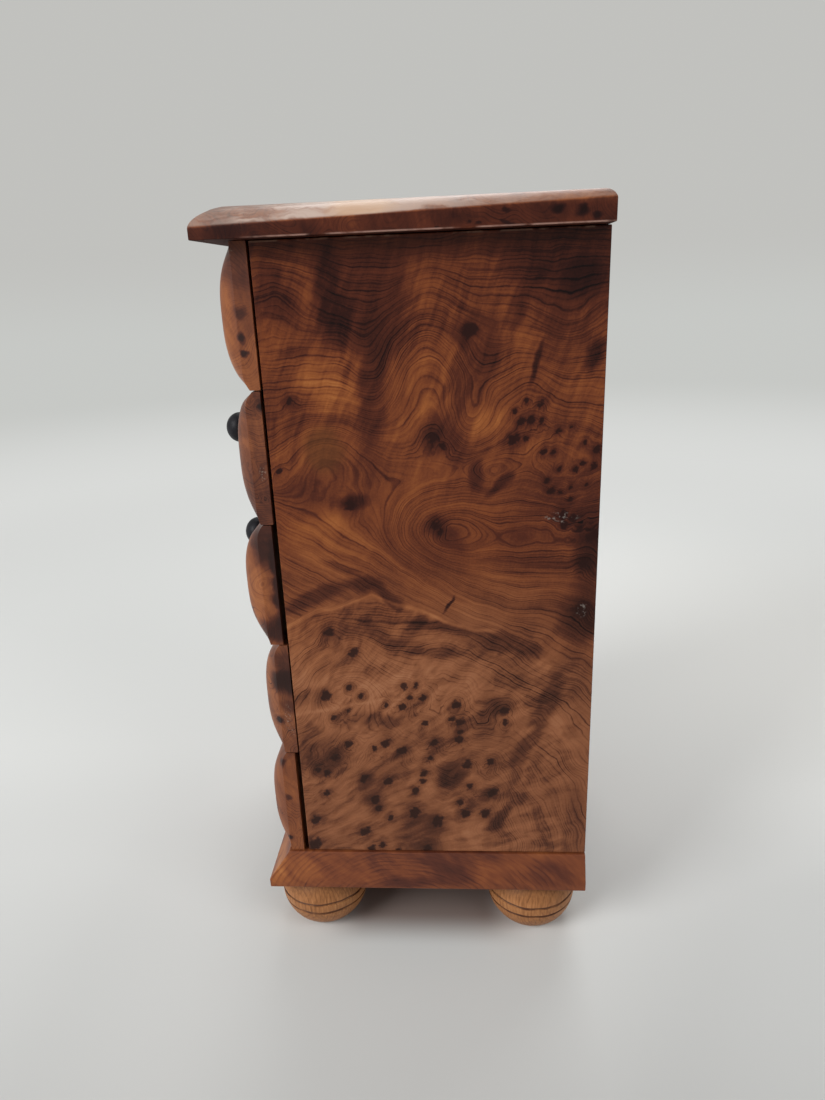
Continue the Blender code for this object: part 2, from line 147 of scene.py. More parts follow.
# Stage and light. A zone of the floor fades in from its first place to its second, by X,
# which runs towards the camera, and by Y, which runs to the right in the photo.
FLOOR_RADIUS = 4.0
FLOOR_STEPS = 96
FLOOR_ROUGHNESS = 0.7
FLOOR_FADE = (0.40, 0.95)
FAR_FLOOR_FADE = (0.85, 2.00)
FLOOR_COLOUR = (0.705, 0.715, 0.705, 1)
# Painted light: a brighter zone of the floor
FLOOR_PAINTED_LIGHT_COLOUR = (0.81, 0.81, 0.79, 1)
PAINTED_LIGHT_START_X = (0.06, -0.16)
PAINTED_LIGHT_END_X = (-0.60, -0.20)
PAINTED_LIGHT_Y = (-0.05, 0.30)
# Painted shade towards the camera, in a corner on each side and in a strip in front
FLOOR_NEAR_SHADE_COLOUR = (0.53, 0.525, 0.51, 1)
NEAR_SHADE_X = (0.08, 0.30)
RIGHT_CORNER_X = (-0.04, 0.05)
RIGHT_CORNER_Y = (0.090, 0.185)
RIGHT_CORNER_SLOPE = 0.5
RIGHT_CORNER_SHADE = 0.20
LEFT_CORNER_X = (-0.08, 0.03)
LEFT_CORNER_Y = (-0.07, -0.15)
LEFT_CORNER_SHADE = 0.12
FRONT_STRIP_X = (0.02, 0.10)
FRONT_STRIP_SHADE = 0.04
# A painted shadow on the floor under the case, between its feet
UNDER_CASE_SHADOW_COLOUR = (0.086, 0.026, 0.006, 1)
UNDER_CASE_X = (0.083, 0.062)
UNDER_CASE_Y = (0.052, 0.026)
UNDER_CASE_MIDDLE_Y = 0.008
UNDER_CASE_SHADE = 0.80
BACKDROP_COLOUR = (0.535, 0.535, 0.515, 1)
BACKDROP_FADE = (-0.06, 0.05)
FAR_FLOOR_COLOUR = (0.570, 0.580, 0.560, 1)
MIDDLE_FLOOR_COLOUR = (0.695, 0.703, 0.687, 1)
ROOM_LIGHT = 0.25
LAMPS = {
    "overhead": ((-0.90, 0.20, 1.30), 1.2, 11.5),
    "window": ((1.00, -1.20, 0.95), 0.9, 24.5),
    "far_window": ((0.80, 1.00, 1.00), 0.9, 6.0),
}


# Meshes

def add_object(name, data):
    """Put a mesh, a lamp or a camera into the scene."""
    made = bpy.data.objects.new(name, data)
    bpy.context.scene.collection.objects.link(made)
    return made


def add_mesh(name, shape, material):
    """Put a shape into the scene, in one material."""
    mesh = bpy.data.meshes.new(name)
    shape.to_mesh(mesh)
    shape.free()
    mesh.materials.append(material)
    return add_object(name, mesh)


def add_piece(name, shape, body, material, nodes):
    """Turn a finished shape into a smooth shaded piece that rides on a body."""
    bmesh.ops.remove_doubles(shape, verts=shape.verts, dist=WELD)
    bmesh.ops.recalc_face_normals(shape, faces=shape.faces)
    piece = add_mesh(name, shape, material)
    piece.data.shade_smooth()
    piece.data.set_sharp_from_angle(angle=SHARP_ANGLE)
    even = piece.modifiers.new("even_shading", "WEIGHTED_NORMAL")
    even.keep_sharp = True
    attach(piece, body)
    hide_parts(*nodes)


def ease(shape, radius):
    """Round every sharp edge of a shape a little."""
    sharp = [
        edge for edge in shape.edges
        if len(edge.link_faces) == 2 and edge.calc_face_angle(0) > SHARP_ANGLE
    ]
    bmesh.ops.bevel(
        shape, geom=sharp, offset=radius, offset_type="OFFSET", segments=EASE_STEPS,
        profile=0.5, affect="EDGES", material=-1, clamp_overlap=True,
    )


def eased_board(node):
    """A board as it was packed, its facets merged and its edges eased."""
    shape = bmesh.new()
    shape.from_mesh(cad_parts[node].data)
    bmesh.ops.remove_doubles(shape, verts=shape.verts, dist=WELD)
    bmesh.ops.dissolve_limit(
        shape, angle_limit=FLAT_ANGLE, verts=shape.verts, edges=shape.edges,
    )
    bmesh.ops.recalc_face_normals(shape, faces=shape.faces)
    ease(shape, EDGE_EASE)
    return shape


def turned(profile, steps):
    """A profile of (radius, height) points, from axis to axis, spun about Z."""
    shape = bmesh.new()
    points = [shape.verts.new((radius, 0, height)) for radius, height in profile]
    edges = [shape.edges.new(pair) for pair in zip(points, points[1:])]
    bmesh.ops.spin(
        shape, geom=points + edges, cent=(0, 0, 0), axis=(0, 0, 1),
        angle=2 * math.pi, steps=steps, use_merge=True,
    )
    bmesh.ops.remove_doubles(shape, verts=shape.verts, dist=WELD)
    return shape


def top_board_ring(run, side_run, height_front, height_back):
    """Corners of the top board's outline, drawn in by a share of its nose."""
    half = TOP_HIGH.x - side_run * TOP_NOSE_SIDE
    front = TOP_LOW.y + run * TOP_NOSE_FRONT
    back = TOP_HIGH.y - run * TOP_NOSE_BACK
    return [
        (-half, front, height_front),
        (half, front, height_front),
        (half, back, height_back),
        (-half, back, height_back),
    ]


def top_board_shape():
    """A square edge that grows towards the back, under a finely rounded nose."""
    bottom, top = TOP_LOW.z, TOP_HIGH.z
    rings = [top_board_ring(0, 0, bottom, bottom)]
    for step in range(NOSE_STEPS + 1):
        run = 1 - math.cos(math.pi / 2 * step / NOSE_STEPS)
        rise = (1 - (1 - run) ** NOSE_RUN_POWER) ** (1 / NOSE_RISE_POWER)
        rings.append(top_board_ring(
            run,
            1 - max(1 - rise, 0) ** (1 / NOSE_SIDE_POWER),
            min(bottom + TOP_EDGE_FRONT + rise * (top - bottom - TOP_EDGE_FRONT), top),
            min(bottom + TOP_EDGE_BACK + rise * (top - bottom - TOP_EDGE_BACK), top),
        ))
    shape = bmesh.new()
    loops = []
    for ring in rings:
        corners = [shape.verts.new(point) for point in ring]
        pairs = zip(corners, corners[1:] + corners[:1])
        loops.append([shape.edges.new(pair) for pair in pairs])
    for lower, upper in zip(loops, loops[1:]):
        bmesh.ops.bridge_loops(shape, edges=lower + upper)
    bmesh.ops.holes_fill(shape, edges=loops[0] + loops[-1], sides=4)
    bmesh.ops.recalc_face_normals(shape, faces=shape.faces)
    ease(shape, EDGE_EASE)
    return shape


def front_thickness(x, z, half_width, half_height, number):
    """Thickness of a drawer front at a place on its face, measured from its middle."""
    inset = min((half_width - abs(x)) / FRONT_END_ROUND, 1)
    end_round = 1 - (1 - inset) ** FRONT_END_POWER
    bow_share = 1 - (x / half_width) ** 2
    height_share = 1 - (abs(z) / half_height) ** FRONT_CROWN_POWER
    swell = FRONT_CROWNS[number - 1] * end_round + FRONT_BOWS[number - 1] * bow_share
    fall = FRONT_UPPER_FALLS[number - 1] if z > 0 else FRONT_LOWER_FALLS[number - 1]
    fall_share = max(1 - (half_height - abs(z)) / FRONT_FALL_SPAN, 0) ** FRONT_FALL_POWER
    return FRONT_END_THICKNESS + swell * height_share - fall * fall_share


def sink(shape, back_y, low, high, depth):
    """Press a housing into the flat back of a front, between two (x, z) corners."""
    planes = [((low[0], 0, 0), (1, 0, 0)), ((high[0], 0, 0), (1, 0, 0)),
              ((0, 0, low[1]), (0, 0, 1)), ((0, 0, high[1]), (0, 0, 1))]
    for place, normal in planes:
        back = [face for face in shape.faces if face.calc_center_median().y > back_y - WELD]
        parts = set(back)
        for face in back:
            parts.update(face.edges, face.verts)
        bmesh.ops.bisect_plane(shape, geom=list(parts), dist=WELD, plane_co=place, plane_no=normal)
    inside = []
    for face in shape.faces:
        middle = face.calc_center_median()
        if middle.y > back_y - WELD and low[0] < middle.x < high[0] and low[1] < middle.z < high[1]:
            inside.append(face)
    grown = bmesh.ops.extrude_face_region(shape, geom=inside)["geom"]
    verts = [item for item in grown if isinstance(item, bmesh.types.BMVert)]
    bmesh.ops.translate(shape, vec=(0, -depth, 0), verts=verts)
    bmesh.ops.delete(shape, geom=[face for face in inside if face.is_valid], context="FACES")


def front_shape(number):
    """A pillow with square edges, housings for the drawer's sides and a bottom groove."""
    low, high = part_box(f"drawer_{number}_front")
    half_width = (high.x - low.x) / 2
    half_height = (high.z - low.z) / 2
    middle_z = (low.z + high.z) / 2
    shape = bmesh.new()
    bmesh.ops.create_grid(shape, x_segments=FRONT_COLUMNS, y_segments=FRONT_ROWS, size=1)
    for vert in shape.verts:
        x = half_width * math.sin(math.pi / 2 * vert.co.x)
        z = half_height * math.sin(math.pi / 2 * vert.co.y)
        thickness = front_thickness(x, z, half_width, half_height, number)
        vert.co = (x, high.y - thickness, middle_z + z)
    rim = [edge for edge in shape.edges if edge.is_boundary]
    grown = bmesh.ops.extrude_edge_only(shape, edges=rim)["geom"]
    for vert in grown:
        if isinstance(vert, bmesh.types.BMVert):
            vert.co.y = high.y
    back_rim = [edge for edge in grown if isinstance(edge, bmesh.types.BMEdge) and edge.is_boundary]
    bmesh.ops.holes_fill(shape, edges=back_rim, sides=len(back_rim))
    bmesh.ops.recalc_face_normals(shape, faces=shape.faces)
    for side in ("left", "right"):
        board_low, board_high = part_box(f"drawer_{number}_side_{side}")
        sink(
            shape, high.y,
            (board_low.x - HOUSING_GAP, board_low.z - HOUSING_GAP),
            (board_high.x + HOUSING_GAP, board_high.z + HOUSING_GAP), HOUSING_DEPTH,
        )
    groove_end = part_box(f"drawer_{number}_side_right")[0].x - HOUSING_GAP - GROOVE_END_GAP
    bottom_low, bottom_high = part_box(f"drawer_{number}_bottom")
    sink(
        shape, high.y, (-groove_end, bottom_low.z - HOUSING_GAP),
        (groove_end, bottom_high.z + HOUSING_GAP), GROOVE_DEPTH,
    )
    bmesh.ops.recalc_face_normals(shape, faces=shape.faces)
    ease(shape, FRONT_EASE)
    return shape


def knob_profile():
    """From the spigot's end, along the stem and over the dome of the head."""
    stem = KNOB_PROJECTION - KNOB_DOME_HEIGHT
    profile = [(0, -KNOB_SPIGOT_LENGTH), (KNOB_SPIGOT_RADIUS, -KNOB_SPIGOT_LENGTH)]
    profile.append((KNOB_SPIGOT_RADIUS, 0))
    for step in range(KNOB_STEM_STEPS + 1):
        share = step / KNOB_STEM_STEPS
        if share < KNOB_WAIST_SHARE:
            swell = (1 - share / KNOB_WAIST_SHARE) ** 2
            radius = KNOB_WAIST_RADIUS + swell * (KNOB_SEAT_RADIUS - KNOB_WAIST_RADIUS)
        else:
            swell = math.sin(math.pi / 2 * (share - KNOB_WAIST_SHARE) / (1 - KNOB_WAIST_SHARE)) ** 2
            radius = KNOB_WAIST_RADIUS + swell * (KNOB_HEAD_RADIUS - KNOB_WAIST_RADIUS)
        profile.append((radius, stem * share))
    for step in range(1, KNOB_DOME_STEPS + 1):
        angle = math.pi / 2 * step / KNOB_DOME_STEPS
        radius = 0 if step == KNOB_DOME_STEPS else KNOB_HEAD_RADIUS * math.cos(angle)
        profile.append((radius, stem + KNOB_DOME_HEIGHT * math.sin(angle)))
    return profile


def knob_shape(number):
    """A turned knob, its stem along -Y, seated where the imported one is."""
    low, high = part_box(f"drawer_{number}_knob")
    shape = turned(knob_profile(), KNOB_STEPS)
    bmesh.ops.rotate(
        shape, cent=(0, 0, 0), matrix=Matrix.Rotation(math.pi / 2, 3, "X"), verts=shape.verts,
    )
    seat = ((low.x + high.x) / 2, low.y + KNOB_PROJECTION, (low.z + high.z) / 2)
    bmesh.ops.translate(shape, vec=seat, verts=shape.verts)
    return shape


def foot_profile(height, radius, seat):
    """From the floor up the ball, through its grooves, to the spigot's end."""
    half = height * FOOT_BALL_SHARE
    equator = height * FOOT_EQUATOR_SHARE
    grooves = [height * share for share in FOOT_GROOVE_SHARES]

    def ball(level):
        return radius * math.sqrt(1 - ((level - equator) / half) ** 2)

    low_angle = math.asin(-equator / half)
    high_angle = math.asin((seat - equator) / half)
    points = []
    for step in range(FOOT_ARC_STEPS + 1):
        level = equator + half * math.sin(
            low_angle + (high_angle - low_angle) * step / FOOT_ARC_STEPS)
        if all(abs(level - groove) > FOOT_GROOVE_WIDTH * FOOT_GROOVE_REACH for groove in grooves):
            points.append((ball(level), level))
    for groove in grooves:
        for step in range(GROOVE_STEPS + 1):
            across = 2 * step / GROOVE_STEPS - 1
            level = groove + across * FOOT_GROOVE_WIDTH / 2
            depth = FOOT_GROOVE_DEPTH * (1 - across ** 2)
            points.append((ball(level) - depth, level))
    points.sort(key=lambda point: point[1])
    spigot_top = seat + FOOT_SPIGOT_LENGTH
    spigot = [(FOOT_SPIGOT_RADIUS, seat), (FOOT_SPIGOT_RADIUS, spigot_top), (0, spigot_top)]
    return [(0, 0)] + points + spigot


def foot_shape(name):
    """A turned ball foot with its spigot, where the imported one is."""
    low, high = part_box(name)
    seat = high.z - FOOT_SPIGOT_LENGTH
    shape = turned(foot_profile(BASE_LOW.z, (high.x - low.x) / 2, seat), FOOT_STEPS)
    middle = ((low.x + high.x) / 2, (low.y + high.y) / 2, 0)
    bmesh.ops.translate(shape, vec=middle, verts=shape.verts)
    return shape


# Shaders

class Socket:
    """An output of a finish's nodes. Sums and products of sockets add Math nodes."""

    def __init__(self, tree, output):
        self.tree = tree
        self.output = output

    def node(self, kind, inputs, output=0, **settings):
        """Add a node: its settings first, then the values or links of its sockets."""
        made = self.tree.nodes.new("ShaderNode" + kind)
        for name, value in settings.items():
            if name == "stops":
                ramp = made.color_ramp
                while len(ramp.elements) < len(value):
                    ramp.elements.new(1)
                for element, (position, colour) in zip(ramp.elements, value):
                    element.position = position
                    element.color = (*colour, 1)
            else:
                setattr(made, name, value)
        for key, value in inputs.items():
            if isinstance(value, Socket):
                self.tree.links.new(value.output, made.inputs[key])
            else:
                made.inputs[key].default_value = value
        return Socket(self.tree, made.outputs[output])

    def math(self, operation, *values):
        return self.node("Math", dict(enumerate(values)), operation=operation)

    def __add__(self, other):
        return self.math("ADD", self, other)

    __radd__ = __add__

    def __sub__(self, other):
        return self.math("SUBTRACT", self, other)

    def __rsub__(self, other):
        return self.math("SUBTRACT", other, self)

    def __mul__(self, other):
        return self.math("MULTIPLY", self, other)

    __rmul__ = __mul__

    def __truediv__(self, other):
        return self.math("DIVIDE", self, other)

    def __rtruediv__(self, other):
        return self.math("DIVIDE", other, self)


def new_finish(name):
    """A new material and its object coordinates."""
    material = bpy.data.materials.new(name)
    material.use_nodes = True
    coordinates = material.node_tree.nodes.new("ShaderNodeTexCoord")
    return material, Socket(material.node_tree, coordinates.outputs["Object"])


def finish_surface(material, colour, roughness, height, bump, gloss, coat=None):
    """Join what varies to the material's own shader, and set what doesn't."""
    shader = material.node_tree.nodes["Principled BSDF"]
    relief = height.node("Bump", {"Height": height, "Distance": bump, "Strength": 1.0})
    links = material.node_tree.links
    links.new(colour.output, shader.inputs["Base Color"])
    links.new(roughness.output, shader.inputs["Roughness"])
    links.new(relief.output, shader.inputs["Normal"])
    if coat:
        links.new(coat.output, shader.inputs["Coat Weight"])
    shader.inputs["Specular IOR Level"].default_value = gloss
    shader.inputs["Coat Roughness"].default_value = COAT_ROUGHNESS
    return material


def fade(value, start, end):
    """0 before start, 1 after end, smooth between; start may be above end."""
    return value.node(
        "MapRange", {"Value": value, "From Min": start, "From Max": end},
        interpolation_type="SMOOTHSTEP",
    )


def noise(place, scale, detail=3.0, roughness=0.55):
    """Noise from 0 to 1, about a half."""
    return place.node("TexNoise", {
        "Vector": place, "Scale": scale, "Detail": detail, "Roughness": roughness,
    })


def swing(*settings):
    """The same noise, about zero."""
    return noise(*settings) - 0.5


def distance(place, centre):
    """How far a place is from a centre."""
    return place.node("VectorMath", {0: place, 1: centre}, output="Value", operation="DISTANCE")


def stretched(place, factors):
    """A place with each of its values times a factor."""
    return place.node("VectorMath", {0: place, 1: factors}, operation="MULTIPLY")


def joined(x, y, z):
    """A vector out of three values, of which the first is a socket."""
    return x.node("CombineXYZ", {"X": x, "Y": y, "Z": z})


def parted(place):
    """The three values of a vector."""
    return [place.node("SeparateXYZ", {0: place}, output=axis) for axis in "XYZ"]


def turned_place(place, angles, centre=(0, 0, 0), sizes=(1, 1, 1)):
    """Coordinates about a centre, turned by angles and measured in sizes."""
    return place.node("Mapping", {
        "Vector": place, "Location": centre, "Rotation": angles, "Scale": sizes,
    }, vector_type="TEXTURE")


def warped(place, scale, amount):
    """A place pushed about by noise, by up to half the amount."""
    push = place.node("TexNoise", {"Vector": place, "Scale": scale, "Detail": 2.0}, output=1)
    centred = push.node("VectorMath", {0: push, 1: (0.5, 0.5, 0.5)}, operation="SUBTRACT")
    scaled = stretched(centred, (amount, amount, amount))
    return place.node("VectorMath", {0: place, 1: scaled}, operation="ADD")


def mixed(first, second, factor):
    """Two colours, mixed by a factor. The first colour or the factor is a socket."""
    maker = factor if isinstance(factor, Socket) else first
    return maker.node("Mix", {0: factor, 6: first, 7: second}, output=2, data_type="RGBA")


def combined(operation, values):
    """The smallest or the largest of some sockets."""
    return reduce(lambda first, second: second.math(operation, second, first), values)


def coloured(tone, stops):
    """The colour of a tone, from stops of (tone, colour)."""
    return tone.node("ValToRGB", {0: tone}, stops=stops)


def curve(value, stops):
    """A height that follows a value through stops of (value, height)."""
    return coloured(value, [(position, (height,) * 3) for position, height in stops])


def growth_lines(height, count, width=0.42):
    """Dark late wood at each whole step of height times count, uneven from ring to ring."""
    phase = height * count
    share = phase.math("FRACT", phase)
    ring = phase.math("FLOOR", phase)
    strength = ring.node("TexWhiteNoise", {"W": ring}, noise_dimensions="1D")
    line = share.math("MAXIMUM", fade(share, 0.97 - width, 0.97), 1 - fade(share, 0.0, 0.10))
    return line * (0.2 + 0.8 * strength)


def cloud(place, centre, reach, turn=(0, 0, 0)):
    """1 at the centre, falling softly to 0 where a turned blot of the given reach ends."""
    about = turned_place(place, turn, centre, reach)
    return about.node("TexGradient", {0: about}, output=1, gradient_type="SPHERICAL")


def panel_cloud(place, along, up, reach_along, reach_up, lean=0):
    """A cloud on the side panel, from a row of its tables, leaning by some degrees."""
    centre = (along / 1000, up / 1000, 0)
    reach = (reach_along / 1000, reach_up / 1000, 1)
    return cloud(place, centre, reach, (0, 0, math.radians(lean)))


def board_cloud(place, centre, reach, lean=0):
    """A cloud on another board, in millimetres, leaning by some degrees about the X axis."""
    centre, reach = [[value / 1000 for value in values] for values in (centre, reach)]
    return cloud(place, centre, reach, (math.radians(lean), 0, 0))


def burl_colour(tone, redness):
    """The colour of burl wood, between its brown and its red kind."""
    return mixed(coloured(tone, BROWN_TONES), coloured(tone, RED_TONES), redness)


# Clear coat, where a finish has one
COAT_ROUGHNESS = 0.25

# Each wood from its darkest to its palest tone. The side panel is redder high up.
RED_TONES = (
    (0.00, (0.006, 0.002, 0.002)),
    (0.16, (0.028, 0.007, 0.005)),
    (0.34, (0.082, 0.020, 0.010)),
    (0.52, (0.170, 0.046, 0.016)),
    (0.72, (0.270, 0.084, 0.024)),
    (1.00, (0.400, 0.148, 0.043)),
)
BROWN_TONES = (
    (0.00, (0.010, 0.005, 0.004)),
    (0.16, (0.034, 0.013, 0.009)),
    (0.34, (0.096, 0.033, 0.018)),
    (0.52, (0.186, 0.067, 0.031)),
    (0.72, (0.268, 0.103, 0.048)),
    (1.00, (0.345, 0.148, 0.074)),
)
FOOT_TONES = (
    (0.0, (0.060, 0.020, 0.007)),
    (0.3, (0.210, 0.080, 0.025)),
    (0.6, (0.360, 0.150, 0.052)),
    (1.0, (0.500, 0.260, 0.110)),
)
BOX_TONES = (
    (0.0, (0.170, 0.085, 0.035)),
    (0.4, (0.400, 0.240, 0.120)),
    (0.7, (0.520, 0.340, 0.190)),
    (1.0, (0.640, 0.460, 0.290)),
)

# Colours that are mixed into the woods here and there
GREENISH = (0.105, 0.040, 0.012, 1)
WHITISH = (0.20, 0.17, 0.15, 1)
WORN = (0.26, 0.18, 0.14, 1)
# Glue, with a painted highlight, along the side panel's top edge
GLUE_AND_HIGHLIGHT = (0.30, 0.17, 0.12, 1)
# A painted highlight for the top board's nose
NOSE_HIGHLIGHT_COLOUR = (0.51, 0.39, 0.33, 1)
TAN_NOSE = (0.56, 0.37, 0.25, 1)
# Bare wood and a painted highlight on the top board's lower rim
RIM_WEAR_AND_HIGHLIGHT = (0.34, 0.20, 0.16, 1)
BURNT = (0.060, 0.017, 0.007, 1)

# The side panel's figure. Places are (along, up) from its lower front corner, as shares
# of its height, and as thousandths of it in the tables that also have radii.

# Swirls: a place, two radii, and how far each lifts the growth lines
PANEL_SWIRLS = (
    (235, 840, 85, 160, -0.075), (295, 760, 50, 70, 0.045),
    (375, 790, 60, 90, -0.035), (150, 830, 45, 120, 0.020),
    (85, 705, 100, 100, -0.050), (245, 590, 100, 85, 0.095),
    (320, 560, 170, 150, 0.070), (330, 675, 50, 50, -0.045),
    (420, 700, 90, 90, -0.050), (430, 870, 80, 80, 0.030),
    (20, 950, 120, 100, -0.050), (100, 330, 120, 120, -0.090),
    (250, 250, 120, 100, 0.050), (60, 140, 110, 100, 0.060),
)

# A seam parts an upper from a lower field of growth lines, and two ridges cross the lower
# one. Each is heights at shares of the panel's depth, and is pale from the front to its end.
SEAM = ((0.0, 0.430), (0.10, 0.452), (0.21, 0.468), (0.29, 0.485), (0.42, 0.462),
        (0.52, 0.440), (0.62, 0.425), (0.83, 0.420), (1.0, 0.360))
LOWER_RIDGE = ((0.0, 0.270), (0.10, 0.285), (0.25, 0.296), (0.40, 0.312), (1.0, 0.312))
LOWEST_RIDGE = ((0.0, 0.134), (0.05, 0.141), (0.12, 0.160), (1.0, 0.160))
RIDGE_ENDS = ((SEAM, 0.34), (LOWER_RIDGE, 0.19), (LOWEST_RIDGE, 0.06))
PANEL_DEPTH = 0.48

# Growth lines: how many to a panel height, the centre that the lower ones fan out from and
# their lift, the centre of the rays that cross them, and the lean of the streaks above
COARSE_COUNT = 92
FINE_COUNT = 215
FAN_CENTRE = (0.15, -0.02)
FAN_LIFT = 0.13
STROKE_CENTRE = (-0.30, -0.15)
STREAK_LEAN = math.radians(-22)

# Clouds: a place, two radii, a lean in degrees, and how much lighter they make the wood
PANEL_CLOUDS = (
    (420, 970, 160, 80, -20, -0.34), (180, 990, 180, 50, 0, -0.22),
    (103, 925, 30, 100, 0, -0.46), (95, 800, 30, 60, -15, 0.10),
    (170, 905, 75, 100, 0, -0.30), (157, 800, 34, 150, -5, -0.30),
    (124, 885, 14, 55, -8, -0.34), (70, 950, 45, 55, 30, 0.22),
    (93, 808, 78, 64, -10, 0.36), (20, 885, 50, 25, -25, 0.15),
    (30, 930, 45, 45, -40, -0.16), (215, 780, 75, 140, -15, 0.10),
    (345, 895, 20, 55, -20, 0.34), (322, 850, 22, 80, -12, -0.26),
    (365, 930, 30, 80, -20, -0.20), (285, 810, 30, 50, -10, -0.20),
    (280, 730, 24, 80, -5, -0.24), (315, 745, 50, 30, 20, 0.24),
    (375, 860, 28, 60, -22, 0.22), (430, 840, 60, 60, -30, 0.14),
    (385, 830, 7.5, 42, -20, -0.50), (257, 465, 4, 22, -28, -0.55),
    (425, 890, 90, 130, -20, -0.24), (60, 345, 170, 100, 0, 0.20),
    (220, 310, 120, 80, 0, 0.26), (60, 870, 120, 130, 0, -0.09),
    (200, 640, 60, 60, 0, 0.12), (465, 835, 17, 36, -25, -0.50),
    (448, 935, 40, 40, -30, -0.36), (243, 738, 30, 44, -30, -0.24),
    (295, 873, 18, 15, 0, -0.36), (303, 672, 18, 34, 0, -0.38),
    (336, 656, 12, 36, -42, -0.40), (50, 640, 60, 55, 30, -0.24),
    (120, 634, 38, 16, 5, -0.40), (255, 582, 55, 22, -42, -0.20),
    (250, 570, 90, 80, -30, -0.20), (90, 530, 42, 12, -20, -0.26),
    (50, 480, 85, 20, 26, -0.36), (128, 503, 40, 18, 0, -0.36),
    (168, 480, 45, 13, -42, -0.40), (150, 415, 65, 22, -35, -0.26),
    (240, 430, 85, 14, -12, -0.36), (345, 398, 95, 28, -14, -0.34),
    (235, 384, 90, 15, 0, -0.32), (235, 407, 70, 10, -8, 0.16),
    (80, 575, 120, 60, -35, 0.27), (470, 560, 40, 90, 0, -0.38),
    (462, 445, 50, 75, -10, -0.44), (375, 530, 90, 45, 0, -0.14),
    (30, 305, 55, 30, 15, -0.24), (135, 265, 80, 18, -5, -0.20),
    (35, 192, 70, 60, 0, -0.36), (160, 180, 45, 30, 35, -0.16),
    (120, 125, 35, 55, -15, -0.26), (253, 150, 34, 42, -20, -0.46),
    (200, 35, 65, 70, 0, -0.32), (315, 270, 30, 75, -10, -0.30),
    (338, 290, 35, 30, 0, -0.30), (410, 292, 26, 75, -24, -0.38),
    (384, 225, 18, 56, -35, -0.30), (365, 175, 16, 50, -15, -0.26),
    (334, 68, 18, 56, -28, -0.42), (300, 110, 20, 55, -40, -0.22),
    (450, 340, 50, 70, 0, -0.20), (462, 80, 28, 110, 0, -0.22),
    (390, 170, 16, 50, -20, -0.14),
)

# Eyes: a place and the radius of the dark pith. All lean one way.
PANEL_EYES = (
    (295, 873, 10), (37, 785, 5), (12, 683, 4.5), (115, 628, 8.5), (240, 727, 8),
    (254, 714, 5.5), (366, 747, 6.5), (380, 749, 6), (356, 722, 8.5), (373, 722, 4.5),
    (357, 762, 4.2), (373, 775, 4), (394, 772, 4.8), (395, 747, 4), (418, 732, 4.6),
    (436, 738, 3), (456, 715, 4), (398, 703, 5), (412, 702, 4.8), (473, 705, 6),
    (455, 685, 4.5), (470, 680, 5.5), (420, 676, 3.6), (445, 675, 3.8), (404, 660, 4),
    (410, 645, 5.4), (424, 643, 3.4), (440, 651, 3.6), (460, 652, 3.8), (438, 630, 4),
    (428, 607, 7.5), (443, 603, 7), (432, 593, 7), (452, 586, 5.6), (472, 575, 10),
    (461, 532, 7), (460, 456, 7), (240, 596, 7), (247, 586, 4.5), (68, 422, 8),
    (104, 386, 8.5), (54, 308, 9), (92, 323, 5), (112, 307, 5.2), (151, 291, 4),
    (177, 287, 6.2), (181, 325, 6.8), (201, 326, 5), (191, 304, 4), (211, 303, 6.2),
    (87, 280, 3.8), (63, 268, 5), (265, 291, 8), (270, 258, 8.2), (258, 264, 5),
    (268, 226, 7.2), (270, 239, 5.2), (214, 256, 6), (229, 220, 6.8), (220, 189, 5.6),
    (85, 216, 6.8), (128, 208, 5.2), (147, 219, 7.8), (174, 204, 8), (61, 190, 6.4),
    (30, 165, 6), (45, 159, 6.4), (108, 149, 8.6), (148, 145, 8.6), (209, 161, 7),
    (206, 144, 5.6), (193, 125, 7), (40, 118, 6.2), (124, 107, 8.6), (129, 90, 7.2),
    (148, 69, 5.6), (104, 40, 8.6), (190, 80, 10.5), (229, 62, 11), (285, 134, 6),
    (282, 178, 9), (320, 183, 6.2), (324, 121, 8.8), (311, 81, 8.6), (268, 101, 7.2),
    (277, 80, 9), (341, 279, 8.5), (345, 258, 6), (18, 64, 8.8), (12, 12, 12),
    (112, 5, 7), (131, 12, 6.6), (158, 0, 6), (209, 5, 8.5),
)
EYE_LEAN = math.radians(-38)
EYE_STRETCH = 1.3

# A greenish cloud and whitish wear: a place and two radii
GREEN_CLOUD = (80, 712, 40, 45)
PANEL_WEAR = ((425, 604, 34, 12), (460, 456, 12, 16))


def nearest_eye(place, eyes):
    """Distance to the nearest eye in eye radii, for eyes that all lean one way."""
    leaning = turned_place(place, (0, 0, EYE_LEAN), sizes=(1, EYE_STRETCH, 1))
    turn = Matrix.Rotation(-EYE_LEAN, 2)
    ratios = []
    for along, up, radius in eyes:
        x, y = turn @ Vector((along / 1000, up / 1000))
        ratios.append(distance(leaning, (x, y / EYE_STRETCH, 0)) / (radius / 1000))
    return combined("MINIMUM", ratios)


